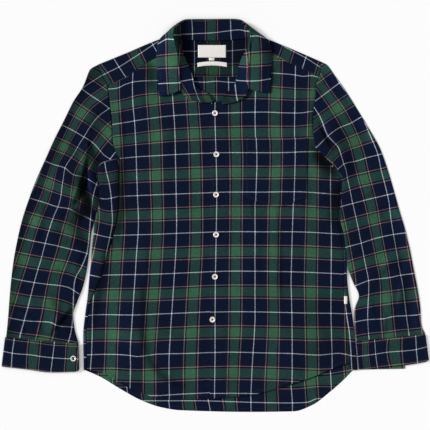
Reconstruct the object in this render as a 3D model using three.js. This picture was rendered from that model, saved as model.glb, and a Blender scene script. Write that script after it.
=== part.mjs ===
// A long-sleeved flannel shirt, men's size M, laid flat on its back with the sleeves down beside it.
// Units are millimetres. +Z is up from the surface it lies on, +Y points to the collar, +X to the
// wearer's left sleeve. The origin is on the surface, under the middle of the laid-out shirt.
// Each panel is a thin wall round a middle surface; the lower layers rest on the surface, and the
// upper layers lie on them with a little air and the largest folds between.
import * as THREE from 'three';

const wall = 1.2;            // brushed flannel
const cuffWall = 2;          // two layers of flannel and an interlining
const labelWall = 1;         // woven label, turned under at its ends
const seamGap = 0.3;         // clearance between two pieces at a seam
const groundMiddle = wall / 2;             // middle surface of a layer that rests on the surface
const upperMiddle = 3;                     // middle surface of an upper layer at its seams
const lowestUpper = 2 * wall + seamGap - wall / 2;  // an upper layer pressed flat on the lower one
const turnReach = 2;         // how far a folded edge bends out past its two layers

const buttonRadius = 5.7;    // 18 line shirt button
const buttonHeight = 2.3;
const placketEdge = -10.5;   // front edge of the wearer's left front, on top
const underlapEdge = 13.5;   // front edge of the wearer's right front, underneath
const placketStep = 0.9;     // each front leaves the common height by this at the overlap

const colours = { navy: 0x1b2345, green: 0x2f5f45, cream: 0xe9e4da, button: 0xe6e0d2 };

// Turns a header and its rows into one object for each row.
const table = (names, rows) =>
  rows.map((row) => Object.fromEntries(names.map((name, k) => [name, row[k]])));

// Side edges of the body seen from above, and how wide the back wraps round on to the front.
const sideRows = table(['y', 'rightSide', 'rightSeam', 'leftSeam', 'leftSide'], [
  [-310, -262, -257, 269, 284],
  [-240, -263, -258, 265, 278],
  [-198, -259, -254, 262, 272.5],
  [-166, -254.5, -246.5, 259.5, 267],
  [-122, -250.5, -227.5, 257.5, 262.5],
  [-98, -248, -222.5, 257, 262],
  [-70, -246, -212.5, 256.5, 261.5],
  [-36, -242.5, -202, 252, 257],
  [-12, -239.5, -196, 246.5, 251.5],
  [16, -233.5, -192, 247, 252],
  [50, -229.5, -191, 250, 255],
  [76, -236, -191, 251, 256],
  [90, -234, -190.8, 240.5, 245.5],
  [99, -231, -190.6, 231, 236],
  [108, -211, -190.2, 223.5, 228.5],
]);

// Heights at which pieces that meet along the sides and the armholes have a row of points, so that
// their edges run alike.
const sideLevels = [-309, -296, -282, -262, -235, -208, -182, -158, -134, -110, -86, -62, -36, -12, 16,
  36, 52, 66, 78, 90, 99, 108];
const armLevels = [114, 120, 134, 154, 182, 206, 230, 244, 259, 276, 291];

// Armhole seams from the side seam up to the shoulder.
const armholeRight = table(['y', 'x'], [
  [112, -190], [126, -199.5], [154, -206], [182, -207], [230, -212.5], [259, -215.8], [280, -226],
  [301, -234.5],
]);
const armholeLeft = table(['y', 'x'], [
  [78, 250.2], [90, 239.5], [99, 230.5], [108, 222], [120, 210.5], [134, 200.3], [168, 196.5], [206, 196.5], [234, 200.5], [262, 202.5], [276, 208.5], [291, 211.5],
  [307, 211],
]);

// Necklines of the two fronts, from the front edge round to the yoke.
const necklineRight = table(['y', 'x'], [
  [214, underlapEdge], [222, 12], [231, -7], [242.5, -16], [249.5, -30], [254, -38], [258, -42],
  [272, -44.5], [286, -48.5], [304, -56.5], [322, -66.5], [337, -74],
]);
const necklineLeft = table(['y', 'x'], [
  [216, placketEdge], [221, -10], [229, 11], [242.5, 20], [249.5, 31], [254, 37], [262, 39.5],
  [280, 42.5], [300, 49.5], [318, 55.5], [334, 63.5], [340, 69.5],
]);

// Slanted seams between the yoke and the fronts.
const yokeSeamRight = table(['x', 'y'], [
  [-215.8, 259], [-178.5, 275], [-138.5, 303], [-116.5, 315], [-74, 337],
]);
const yokeSeamLeft = table(['x', 'y'], [
  [69.5, 340], [111.5, 322], [127.5, 315], [150.5, 303], [174.5, 293], [208.5, 276],
]);

// Shoulder folds, with the neck seam of the yoke between them.
const shoulderLine = table(['x', 'y'], [
  [-234.5, 301], [-180.5, 323], [-110.5, 352], [-92, 357.5], [-74, 357], [-64, 351.5], [-20, 350.5],
  [20, 351.5], [48, 353.5], [60, 355], [69.5, 357], [90, 356.5], [109.5, 350], [159.5, 329.4], [211, 307],
]);
const neckOfYoke = { from: -74, to: 69.5 };
const backSeam = 277;        // y of the seam between back and yoke

// Hems, shirt-tail shaped; the back's is the longer one.
const backHem = table(['x', 'y'], [
  [-262, -310], [-230.5, -324], [-190.5, -348], [-150.5, -370], [-110.5, -384.6], [-70.5, -391],
  [71.5, -394.4], [157.5, -393.2], [193.5, -381], [233.5, -351], [256.5, -330.6], [284, -302],
]);
const frontHem = table(['x', 'y'], [
  [-257, -309], [-222.5, -316], [-198.5, -332], [-174.5, -345], [-146.5, -356], [-116.5, -366],
  [-88.5, -369], [-6.5, -367], [77.5, -359], [121, -348], [201.5, -322], [234.7, -308], [269, -296],
]);

// Sleeve sections from the armhole to the cuff: the outer and the inner edge, how far the inner edge
// overhangs the body, and how high it lies there.
const sleeveNames = ['outerX', 'outerY', 'innerX', 'innerY', 'overhang', 'edgeLift'];
const sleeveRightRows = table(sleeveNames, [
  [-234.5, 301, -190.5, 114, 0, 0],
  [-250.5, 292, -212.5, 110, 0, 0],
  [-266.5, 254, -232.5, 101, 0, 0],
  [-283.5, 228, -237.5, 76, 0, 0],
  [-302.5, 190, -231.2, 50, 0, 0],
  [-322.5, 150, -235.2, 18, 0, 0],
  [-340.5, 110, -241.5, -12, 0, 0],
  [-358.5, 70, -247.5, -34, 0, 0],
  [-373.5, 30, -250.5, -60, 0, 0],
  [-386.5, -10, -253.5, -84, 0, 0],
  [-396, -50, -257.5, -112, 0, 0],
  [-403.5, -90, -265.5, -146, 0, 0],
  [-408.5, -130, -276.5, -174, 0, 0],
  [-412, -170, -284.5, -200, 0, 0],
  [-415, -210, -281.5, -228, 0, 0],
  [-418.5, -244.6, -273.5, -257, 0, 0],
]);
const sleeveLeftRows = table(sleeveNames, [
  [211, 307, 200.3, 134, 6, 4],
  [221.5, 302, 205.5, 128.6, 6, 4.5],
  [241.5, 276, 217.5, 116, 6, 5],
  [261.5, 248, 229.5, 104, 6, 5],
  [285.5, 210, 242.5, 90.4, 6, 5],
  [309.5, 170, 253.5, 78, 6, 5],
  [329.5, 134, 252, 50, 6, 5],
  [345.5, 90, 249, 16, 6, 5],
  [357.5, 50, 248.5, -10, 6, 5],
  [368.5, 10, 254.5, -36, 6, 5],
  [380.5, -30, 259.5, -70, 5, 4.5],
  [390, -70, 264.5, -104, 2, 2.5],
  [397.5, -110, 275.5, -134, 0, 0],
  [405.5, -150, 287.5, -162, 0, 0],
  [410.5, -186, 278.5, -192, 0, 0],
  [412.5, -218, 279, -224, 0, 0],
  [420.5, -239, 282.3, -252, 0, 0],
]);

// Lower edges of the cuffs at fractions of their length from the folded edge to the free end, for the
// upper and the lower layer. The lower layer ends at its reach, a part of the upper one's length.
const cuffNames = ['part', 'upperX', 'upperY', 'lowerX', 'lowerY'];
const cuffRightRows = table(cuffNames, [
  [0, -425.5, -302.8, -425.5, -302.8],
  [0.31, -378.5, -308, -378.5, -307],
  [0.64, -328.5, -314, -328.5, -311],
  [1, -272, -312.5, -272, -310],
]);
const cuffLeftRows = table(cuffNames, [
  [0, 287.5, -309, 287.5, -309.4],
  [0.3, 325.5, -305, 325.5, -308.5],
  [0.66, 378, -300.6, 378, -307.4],
  [1, 427.5, -292.6, 427.5, -303],
]);
const cuffReach = { right: 0.6, left: 0.67 };

// Folds of the upper layers: a curve through three points, its height at the crest, and the width of
// its slope on the left and on the right of the way from start to end.
const foldRows = table(
  ['startX', 'startY', 'midX', 'midY', 'endX', 'endY', 'height', 'leftWidth', 'rightWidth'], [
    [-120, 150, -118, 0, -130, -190, 2.5, 60, 60],        // air in the wearer's right front
    [120, 170, 128, 0, 120, -190, 2.5, 60, 60],           // air in the wearer's left front
    [-258, 155, -252, 92, -280, 8, 11, 7, 26],            // deep fold at the right armpit
    [262, 74, 244, 140, 212, 200, 6, 7, 20],              // crease of the left sleeve's flap
    [-282, -178, -306, -204, -336, -244, 6, 4, 13],       // turned edge above the right cuff
    [386, -88, 372, -140, 366, -196, 4, 12, 5],           // tuck along the left forearm
    [-262, -60, -276, -96, -280, -160, 3, 8, 10],         // crease behind the right elbow
  ]);

// Collar stand from the rounded end on the wearer's right round the neck: its base, where it is sewn
// on, and its top edge, where the collar folds over.
const standRows = table(['baseX', 'baseY', 'baseZ', 'topX', 'topY', 'topZ'], [
  [-7, 231, 5.6, -8, 225, 5.7],
  [-16, 243, 5.6, -27, 224.5, 6],
  [-30, 250, 5.6, -47, 230, 6.6],
  [-40, 257, 5.6, -62, 238.5, 7.6],
  [-43, 264, 5.6, -67.7, 250, 8.8],
  [-47.5, 284, 5.6, -71.4, 289.5, 14.2],
  [-58, 307, 5.4, -74.9, 317, 18.6],
  [-68, 330, 5.2, -79.9, 340, 22.6],
  [-71, 346, 4.8, -83.5, 356.5, 24],
  [-68, 351.5, 3.6, -80.5, 370.2, 22],
  [-60, 352, 2.6, -69, 379.8, 17],
  [-45, 352, 2.2, -54, 386.6, 12.8],
  [-8.5, 351, 2.2, -8.5, 387.4, 10.6],
  [28, 352, 2.2, 30.5, 387.7, 10.8],
  [50, 354, 2.2, 46.5, 386.1, 12.8],
  [60, 355.5, 2.6, 59, 376.8, 17],
  [66, 353, 3.6, 68, 364.2, 22],
  [66.5, 343, 4.8, 70, 349.7, 24],
  [62.5, 330, 5.2, 69, 335, 22.6],
  [54.5, 316, 5.4, 66.5, 314, 18.6],
  [46, 292, 5.6, 65.4, 288, 14.2],
  [40.5, 264, 5.6, 65.1, 252, 8.8],
  [38, 257, 5.6, 61, 238.5, 7.6],
  [30, 250, 5.6, 49.5, 230, 6.6],
  [19.5, 243, 5.6, 33, 224, 6],
  [11.5, 229.5, 5.6, 13.5, 220.5, 5.7],
]);

// Collar fall, the same way round: the roll edge, the middle of its width, and the free edge.
const fallRows = table(
  ['rollX', 'rollY', 'rollZ', 'midX', 'midY', 'midZ', 'edgeX', 'edgeY', 'edgeZ'], [
    [-69.6, 249.6, 9.2, -90.5, 241, 8.4, -111.5, 238, 5],
    [-73.3, 289.5, 14.5, -95, 285, 12, -115, 280, 5],
    [-76.8, 317, 19, -100, 316, 15, -117, 312, 5],
    [-81.8, 340, 23, -102, 340, 18, -115, 338, 5.4],
    [-85.5, 357, 24.5, -101, 354.5, 17, -109.5, 351.5, 5.4],
    [-82.5, 371.5, 22.6, -93.5, 365.5, 11.5, -98, 361.5, 2.6],
    [-71, 382.5, 17.6, -82, 375.5, 7.5, -85, 367, 1.2],
    [-55.5, 388.8, 13.4, -64, 382, 4, -70, 363, 1.2],
    [-8.5, 389.6, 11, -8.5, 376, 2.2, -8.5, 357, 1.2],
    [31, 389.9, 11.2, 33, 376.5, 2.2, 32, 357.5, 1.2],
    [48, 388.3, 13.4, 55, 381, 4, 60, 363, 1.2],
    [61, 379, 17.6, 72, 373, 7.5, 75, 366, 1.2],
    [70, 365.2, 22.6, 84.5, 363, 11.5, 89, 360.5, 2.6],
    [72, 350, 24.5, 93, 351.5, 17, 104, 349.5, 5.4],
    [71, 335.3, 23, 95, 337, 18, 111, 334, 5.4],
    [68.5, 314, 19, 93, 315, 15, 112, 311, 5],
    [67.3, 288, 14.5, 90, 286, 12, 111, 280, 5],
    [67, 252, 9.2, 88, 246.5, 8.4, 109.5, 245, 5],
  ]);

const pocket = { left: 61.5, right: 183.5, top: 154.5, side: 34, point: 14 };
const frontButtons = table(['x', 'y'], [
  [-0.5, 203.4], [2.3, 121.2], [1.7, 40.6], [1.7, -39.4], [-0.5, -123.4], [-5.5, -209],
]);
const cuffButton = { x: -283.5, y: -286.6 };          // on the wearer's right cuff, upper layer
const neckLabel = { left: -34.5, right: 21.5, bottom: 315, top: 340 };
const sizeTab = { left: -12.5, right: -1.5, bottom: 309, top: 314.5 };
const careStrip = { left: -35.5, right: 23.5, bottom: 299, top: 307.5 };
const sideTab = { left: 257.5, right: 264.5, bottom: -178, top: -162 };

// A smooth curve through table rows that never overshoots them (monotone cubic).
function curve(rows, key, value) {
  const k = rows.map((row) => row[key]);
  const v = rows.map((row) => row[value]);
  const last = k.length - 1;
  const slope = k.slice(1).map((next, i) => (v[i + 1] - v[i]) / (next - k[i]));
  const tangent = k.map((_, i) => {
    if (i === 0) return slope[0];
    if (i === last) return slope[last - 1];
    const product = slope[i - 1] * slope[i];
    return product <= 0 ? 0 : (2 * product) / (slope[i - 1] + slope[i]);
  });
  return (q) => {
    const at = Math.min(Math.max(q, k[0]), k[last]);
    let i = 0;
    while (i < last - 1 && at > k[i + 1]) i += 1;
    const span = k[i + 1] - k[i];
    const u = (at - k[i]) / span;
    const rise = u * u * (3 - 2 * u);
    const bend = u * (1 - u);
    return v[i] + rise * (v[i + 1] - v[i])
      + span * bend * ((1 - u) * tangent[i] - u * tangent[i + 1]);
  };
}

// The same for a table whose rows are evenly spaced stations; the key runs from 0 to 1.
const alongRows = (rows, value) =>
  curve(rows.map((row, i) => ({ at: i / (rows.length - 1), value: row[value] })), 'at', 'value');

const mix = (a, b, u) => a + (b - a) * u;
const steps = (count) => Array.from({ length: count + 1 }, (_, i) => i / count);
const smooth = (from, to, q) => THREE.MathUtils.smoothstep(q, from, to);

// Height that one fold adds at a point: a bell across the fold's curve, fading towards its ends.
function foldHeight(fold, x, y) {
  const pieces = 10;
  const at = (u) => [
    (1 - u) * (1 - 2 * u) * fold.startX + 4 * u * (1 - u) * fold.midX + u * (2 * u - 1) * fold.endX,
    (1 - u) * (1 - 2 * u) * fold.startY + 4 * u * (1 - u) * fold.midY + u * (2 * u - 1) * fold.endY,
  ];
  let best = { distance: Infinity, along: 0, side: 1 };
  for (let i = 0; i < pieces; i += 1) {
    const [ax, ay] = at(i / pieces);
    const [bx, by] = at((i + 1) / pieces);
    const [dx, dy] = [bx - ax, by - ay];
    const u = THREE.MathUtils.clamp(((x - ax) * dx + (y - ay) * dy) / (dx * dx + dy * dy), 0, 1);
    const distance = Math.hypot(x - ax - u * dx, y - ay - u * dy);
    if (distance < best.distance) {
      best = { distance, along: (i + u) / pieces, side: Math.sign(dx * (y - ay) - dy * (x - ax)) };
    }
  }
  const width = best.side > 0 ? fold.leftWidth : fold.rightWidth;
  const fade = smooth(0, 0.3, best.along) * (1 - smooth(0.75, 1, best.along));
  return fold.height * fade * Math.exp(-((best.distance / width) ** 2));
}

const upperHeight = (x, y) =>
  foldRows.reduce((height, fold) => height + foldHeight(fold, x, y), upperMiddle);

// Closed wall round a grid of middle points. points[i][j] runs across and along; a missing cell is a
// hole. With around set, the last column joins the first one. Straight-up walls keep the plan outline.
function sheet(points, { thickness = wall, around = false, upright = false, present = () => true } = {}) {
  const across = points.length;
  const along = points[0].length;
  const cells = around ? across : across - 1;
  const at = (i, j) => points[around ? (i + across) % across : THREE.MathUtils.clamp(i, 0, across - 1)][
    THREE.MathUtils.clamp(j, 0, along - 1)];
  const normalAt = (i, j) => {
    if (upright) return new THREE.Vector3(0, 0, 1);
    const di = new THREE.Vector3().subVectors(at(i + 1, j), at(i - 1, j));
    const dj = new THREE.Vector3().subVectors(at(i, j + 1), at(i, j - 1));
    return di.cross(dj).normalize();
  };
  const positions = [];
  for (let i = 0; i < across; i += 1) {
    for (let j = 0; j < along; j += 1) {
      const offset = normalAt(i, j).multiplyScalar(thickness / 2);
      positions.push(...at(i, j).clone().add(offset).toArray());
      positions.push(...at(i, j).clone().sub(offset).toArray());
    }
  }
  const upper = (i, j) => 2 * ((i % across) * along + j);
  const lower = (i, j) => upper(i, j) + 1;
  const inside = (i, j) => {
    if (j < 0 || j >= along - 1) return false;
    if (!around && (i < 0 || i >= cells)) return false;
    return present((i + cells) % cells, j);
  };
  const index = [];
  const quad = (a, b, c, d) => index.push(a, b, c, a, c, d);
  for (let i = 0; i < cells; i += 1) {
    for (let j = 0; j < along - 1; j += 1) {
      if (!inside(i, j)) continue;
      quad(upper(i, j), upper(i + 1, j), upper(i + 1, j + 1), upper(i, j + 1));
      quad(lower(i, j), lower(i, j + 1), lower(i + 1, j + 1), lower(i + 1, j));
      if (!inside(i, j - 1)) quad(lower(i, j), lower(i + 1, j), upper(i + 1, j), upper(i, j));
      if (!inside(i, j + 1)) {
        quad(lower(i + 1, j + 1), lower(i, j + 1), upper(i, j + 1), upper(i + 1, j + 1));
      }
      if (!inside(i + 1, j)) {
        quad(lower(i + 1, j), lower(i + 1, j + 1), upper(i + 1, j + 1), upper(i + 1, j));
      }
      if (!inside(i - 1, j)) quad(lower(i, j + 1), lower(i, j), upper(i, j), upper(i, j + 1));
    }
  }
  return compact(positions, index);
}

// Drops the points that no triangle uses.
function compact(positions, index) {
  const renumbered = new Map();
  const kept = [];
  const mapped = index.map((old) => {
    if (!renumbered.has(old)) {
      renumbered.set(old, renumbered.size);
      kept.push(positions[3 * old], positions[3 * old + 1], positions[3 * old + 2]);
    }
    return renumbered.get(old);
  });
  const geometry = new THREE.BufferGeometry();
  geometry.setAttribute('position', new THREE.Float32BufferAttribute(kept, 3));
  geometry.setIndex(mapped);
  geometry.computeVertexNormals();
  return geometry;
}

// Plan of a panel between a left and a right edge (x for a y) and a lower and an upper edge (y for
// a part of the width). Returns [x, y] for a part across and a part along.
function panelPlan({ left, right, bottom, top }) {
  return (s, t) => {
    const atLeft = mix(bottom(0), top(0), t);
    const atRight = mix(bottom(1), top(1), t);
    return [mix(left(atLeft), right(atRight), s), mix(bottom(s), top(s), t)];
  };
}

const grid = (acrossParts, alongParts, point) =>
  acrossParts.map((s) => alongParts.map((t) => new THREE.Vector3(...point(s, t))));

// The x of a front's side: its side seam below the underarm and its armhole above it.
function frontSide(seamColumn, armhole, inward) {
  const seam = curve(sideRows, 'y', seamColumn);
  const arm = curve(armhole, 'y', 'x');
  const start = armhole[0].y;
  return (y) => (y < start ? seam(y) : arm(y)) + inward * 2 * seamGap;
}

// Parts of a front's length at which its side has the shared levels, and its neckline its rows.
function frontParts(side, neck) {
  const part = (y, { bottom, top }) => (y - bottom) / (top - bottom);
  const inside = [
    ...[...sideLevels, ...armLevels].filter((y) => y > side.bottom + 4 && y < side.top - 4)
      .map((y) => part(y, side)),
    ...neck.rows.slice(1, 7).map(({ y }) => part(y, neck)),
  ];
  return [0, ...inside.sort((a, b) => a - b), 1];
}

function frontRight() {
  const neckline = curve(necklineRight, 'y', 'x');
  const hem = curve(frontHem, 'x', 'y');
  const seam = curve(yokeSeamRight, 'x', 'y');
  const plan = panelPlan({
    left: frontSide('rightSeam', armholeRight, 1),
    right: neckline,
    bottom: (s) => hem(mix(-257, underlapEdge, s)),
    top: (s) => seam(mix(-215.8, -74, s)) - seamGap,
  });
  const middle = (x, y) => {
    const under = smooth(-34, -14, x) * placketStep;
    return Math.max(upperHeight(x, y) - under, lowestUpper);
  };
  const rows = frontParts({ bottom: -309, top: 259 - seamGap },
    { bottom: hem(underlapEdge), top: 337 - seamGap, rows: necklineRight });
  return sheet(grid(steps(9), rows, (s, t) => {
    const [x, y] = plan(s, t);
    return [x, y, middle(x, y)];
  }), { upright: true });
}

const frontLeftHeight = (x, y) => upperHeight(x, y) + placketStep * (1 - smooth(16, 34, x));

function frontLeft() {
  const neckline = curve(necklineLeft, 'y', 'x');
  const hem = curve(frontHem, 'x', 'y');
  const seam = curve(yokeSeamLeft, 'x', 'y');
  const side = frontSide('leftSeam', armholeLeft, -1);
  const plan = panelPlan({
    left: neckline,
    right: side,
    bottom: (s) => hem(mix(placketEdge, 269, s)),
    top: (s) => seam(mix(69.5, 208.5, s)) - seamGap,
  });
  const rows = frontParts({ bottom: -296, top: 276 - seamGap },
    { bottom: hem(placketEdge), top: 340 - seamGap, rows: necklineLeft });
  return sheet(grid(steps(9), rows, (s, t) => {
    const [x, y] = plan(s, t);
    return [x, y, frontLeftHeight(x, y)];
  }), { upright: true });
}

// The back: a flat panel on the surface whose two side strips turn over on to the front, up to the
// underarm. The columns of the strips have no cells above it.
function back() {
  const rightSide = curve(sideRows, 'y', 'rightSide');
  const leftSide = curve(sideRows, 'y', 'leftSide');
  const rightSeam = curve(sideRows, 'y', 'rightSeam');
  const leftSeam = curve(sideRows, 'y', 'leftSeam');
  const rightArm = curve(armholeRight, 'y', 'x');
  const leftArm = curve(armholeLeft, 'y', 'x');
  const hem = curve(backHem, 'x', 'y');
  const underarm = 108;
  const rows = [...sideLevels, ...armLevels.slice(0, -2), backSeam - seamGap];
  const strips = rows.indexOf(underarm);
  const tail = [1, 0.66, 0.33];
  const levels = [...tail.map((depth) => ({ y: rows[0], depth })), ...rows.map((y) => ({ y, depth: 0 }))];
  const flatParts = steps(10);
  const column = (x, z) => ({ x, z });
  const section = (y) => {
    const [outerL, outerR] = y <= underarm
      ? [rightSide(y), leftSide(y)] : [rightArm(y) - turnReach + seamGap, leftArm(y) + turnReach - seamGap];
    const turnMiddle = (groundMiddle + upperMiddle) / 2;
    const flat = flatParts.map((s) =>
      column(mix(outerL + turnReach, outerR - turnReach, s), groundMiddle));
    const stripL = [
      column(Math.max(rightSeam(y), outerL + turnReach + 2), upperMiddle),
      column(mix(Math.max(rightSeam(y), outerL + turnReach + 2), outerL + turnReach, 0.5), upperMiddle),
      column(outerL + turnReach, upperMiddle),
      column(outerL + 0.3, turnMiddle),
    ];
    const stripR = [
      column(outerR - 0.3, turnMiddle),
      column(outerR - turnReach, upperMiddle),
      column(Math.min(leftSeam(y), outerR - turnReach - 2), upperMiddle),
    ];
    return [...stripL, ...flat, ...stripR];
  };
  const lines = levels.map(({ y, depth }) => section(y).map(({ x, z }) => {
    const inTail = z === groundMiddle ? depth : depth * 0.01;
    return new THREE.Vector3(x, y + inTail * (hem(x) - y), z);
  }));
  const points = lines[0].map((_, i) => lines.map((line) => line[i]));
  const firstFlat = 4;
  const lastFlat = firstFlat + flatParts.length - 1;
  const present = (i, j) => {
    const inStrip = i < firstFlat || i >= lastFlat;
    if (!inStrip) return true;
    return j >= tail.length && j < strips + tail.length;
  };
  return sheet(points, { present });
}

// The yoke: its rear layer rests on the surface and is folded over at both shoulders, down to the
// front seams. Between the shoulders it ends at the neck seam.
function yoke() {
  const shoulder = curve(shoulderLine, 'x', 'y');
  const seamRight = curve(yokeSeamRight, 'x', 'y');
  const seamLeft = curve(yokeSeamLeft, 'x', 'y');
  const ends = { right: armholeRight.at(-1).x + seamGap, left: armholeLeft.at(-1).x - seamGap };
  const sections = [
    { from: ends.right, to: neckOfYoke.from, count: 6, strip: 'right' },
    { from: neckOfYoke.from, to: neckOfYoke.to, count: 9, strip: null },
    { from: neckOfYoke.to, to: ends.left, count: 6, strip: 'left' },
  ];
  const columns = [{ x: ends.right, strip: 'right', part: 0 }];
  for (const { from, to, count, strip } of sections) {
    for (let k = 1; k <= count; k += 1) {
      columns.push({ x: mix(from, to, k / count), strip, part: k / count });
    }
  }
  const rearRows = steps(4);
  const frontRows = [0, 0.34, 0.68, 1];
  const armRight = curve(armholeRight, 'y', 'x');
  const armLeft = curve(armholeLeft, 'y', 'x');
  const points = columns.map(({ x, strip, part }, i) => {
    const top = shoulder(x);
    const isStrip = strip !== null || columns[i + 1]?.strip === 'left';
    const rearTop = isStrip ? top - turnReach : top;
    const share = (x - ends.right) / (ends.left - ends.right);
    const rear = rearRows.map((t) => {
      const y = mix(backSeam + seamGap, rearTop, t);
      return new THREE.Vector3(
        mix(armRight(y) + 2 * seamGap, armLeft(y) - 2 * seamGap, share), y, groundMiddle);
    });
    const turn = new THREE.Vector3(x, top - 0.3, (groundMiddle + upperMiddle) / 2);
    const isRight = x < 0;
    const seamX = isRight ? mix(-215.8 + seamGap, neckOfYoke.from, strip === 'right' ? part : 1)
      : mix(neckOfYoke.to, 208.5 - seamGap, strip === 'left' ? part : 0);
    const seamY = (isRight ? seamRight(seamX) : seamLeft(seamX)) + seamGap;
    const front = frontRows.map((t) => {
      const y = mix(top - turnReach, seamY, t);
      let along = mix(x, seamX, t);
      if (share === 0) along = armRight(y) + 2 * seamGap;
      if (share === 1) along = armLeft(y) - 2 * seamGap;
      return new THREE.Vector3(along, y, upperHeight(along, y));
    });
    return [...rear, turn, ...front];
  });
  const lastRear = rearRows.length - 1;
  const present = (i, j) => j < lastRear || columns[i + 1].strip !== null;
  return sheet(points, { present });
}

// A sleeve: a flattened tube, open at the armhole and at the cuff. Each section runs over the top
// from the outer to the inner edge and back along the surface.
function sleeve(rows, armhole, mirror) {
  const at = Object.fromEntries(sleeveNames.map((name) => [name, alongRows(rows, name)]));
  const arm = curve(armhole, 'y', 'x');
  const [highest, lowest] = [rows[0].outerY, rows[0].innerY];
  const crossParts = [0, 0.05, ...armLevels.filter((y) => y > lowest + 2).reverse()
    .map((y) => (highest - y) / (highest - lowest)), 1];
  const alongParts = [0, 0.02, ...steps(24).slice(1)];
  const armholeReach = 0.14;   // part of the length over which a section takes the armhole's curve
  const sections = alongParts.map((t) => {
    const outer = new THREE.Vector2(at.outerX(t), at.outerY(t));
    const inner = new THREE.Vector2(at.innerX(t), at.innerY(t));
    const width = outer.distanceTo(inner);
    const toInner = inner.clone().sub(outer).divideScalar(width);
    const blend = 1 - smooth(0, armholeReach, t);
    const plan = (distance) => {
      const p = outer.clone().addScaledVector(toInner, distance);
      const seamX = arm(p.y) + mirror * seamGap;
      const line = outer.x + (inner.x - outer.x) * ((p.y - outer.y) / (inner.y - outer.y));
      const inRange = p.y >= armhole[0].y ? 1 : 0;
      const start = rows[0].outerX + (rows[0].innerX - rows[0].outerX)
        * ((p.y - rows[0].outerY) / (rows[0].innerY - rows[0].outerY));
      p.x += blend * inRange * (seamX - start) * (Number.isFinite(line) ? 1 : 0);
      return p;
    };
    const lift = at.edgeLift(t);
    const overhang = at.overhang(t);
    const top = crossParts.map((s) => {
      const p = plan(mix(turnReach, width - turnReach, s));
      const nearInner = smooth(0.55, 1, s) * lift;
      return new THREE.Vector3(p.x, p.y, upperHeight(p.x, p.y) + nearInner);
    });
    const innerTop = top.at(-1).z;
    const under = Math.max((groundMiddle + innerTop) / 2, overhang > 1 ? 5.2 : 0);
    const edge = plan(width - 0.2);
    const tucked = plan(width - turnReach - overhang);
    const turnIn = new THREE.Vector3(edge.x, edge.y, overhang > 1 ? (innerTop + under) / 2
      : (groundMiddle + innerTop) / 2);
    const below = overhang > 1
      ? new THREE.Vector3(tucked.x, tucked.y, under)
      : new THREE.Vector3(mix(edge.x, tucked.x, 0.4), mix(edge.y, tucked.y, 0.4),
        mix(groundMiddle, innerTop, 0.25));
    const lowerParts = [...crossParts].reverse();
    const bottom = lowerParts.map((s) => {
      const p = plan(mix(turnReach, width - turnReach - overhang * 1.5, s));
      return new THREE.Vector3(p.x, p.y, groundMiddle);
    });
    const edgeOut = plan(0.2);
    const turnOut = new THREE.Vector3(edgeOut.x, edgeOut.y, (groundMiddle + top[0].z) / 2);
    return [...top, turnIn, below, ...bottom, turnOut];
  });
  const points = sections[0].map((_, i) => sections.map((section) => section[i]));
  return sheet(mirror > 0 ? points : points.reverse(), { around: true });
}

// A cuff: an open band folded at one edge, its upper layer on top and its lower layer on the surface.
function cuff(rows, sleeveRows, reach) {
  const end = sleeveRows.at(-1);
  const beyond = seamGap + 0.3;
  const upperX = curve(rows, 'part', 'upperX');
  const upperY = curve(rows, 'part', 'upperY');
  const lowerX = curve(rows, 'part', 'lowerX');
  const lowerY = curve(rows, 'part', 'lowerY');
  const foldOuter = rows[0].upperX < 0;
  const from = foldOuter ? [end.outerX, end.outerY] : [end.innerX, end.innerY];
  const to = foldOuter ? [end.innerX, end.innerY] : [end.outerX, end.outerY];
  const upperZ = cuffWall / 2 + cuffWall + 1;
  const inset = turnReach / Math.hypot(to[0] - from[0], to[1] - from[1]);
  const point = (part, t, z, lower) => {
    const topX = mix(from[0], to[0], part);
    const topY = mix(from[1], to[1], part) - beyond;
    const bottomX = lower ? lowerX(part) : upperX(part);
    const bottomY = lower ? lowerY(part) : upperY(part);
    return new THREE.Vector3(mix(topX, bottomX, t), mix(topY, bottomY, t), z);
  };
  const widthParts = steps(4);
  const path = [
    ...steps(8).reverse().map((u) => ({ part: mix(inset, 1, u), z: upperZ, lower: false })),
    { part: inset * 0.25, z: mix(cuffWall / 2, upperZ, 0.7), lower: false },
    { part: inset * 0.25, z: mix(cuffWall / 2, upperZ, 0.3), lower: true },
    ...steps(5).map((u) => ({ part: mix(inset, reach, u), z: cuffWall / 2, lower: true })),
  ];
  const points = path.map(({ part, z, lower }) =>
    widthParts.map((t) => point(part, t, z, lower)));
  return sheet(foldOuter ? points : points.reverse(), { thickness: cuffWall });
}

function collarStand() {
  const at = Object.fromEntries(['baseX', 'baseY', 'baseZ', 'topX', 'topY', 'topZ']
    .map((name) => [name, alongRows(standRows, name)]));
  const points = steps(44).map((s) => steps(3).map((t) => new THREE.Vector3(
    mix(at.baseX(s), at.topX(s), t), mix(at.baseY(s), at.topY(s), t), mix(at.baseZ(s), at.topZ(s), t))));
  return sheet(points);
}

function collarFall() {
  const at = Object.fromEntries(
    ['rollX', 'rollY', 'rollZ', 'midX', 'midY', 'midZ', 'edgeX', 'edgeY', 'edgeZ']
      .map((name) => [name, alongRows(fallRows, name)]));
  const through = (a, b, c, t) => (1 - t) * (1 - 2 * t) * a + 4 * t * (1 - t) * b + t * (2 * t - 1) * c;
  const points = steps(42).map((s) => steps(5).map((t) => new THREE.Vector3(
    through(at.rollX(s), at.midX(s), at.edgeX(s), t),
    through(at.rollY(s), at.midY(s), at.edgeY(s), t),
    through(at.rollZ(s), at.midZ(s), at.edgeZ(s), t))));
  return sheet(points.reverse());
}

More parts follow.
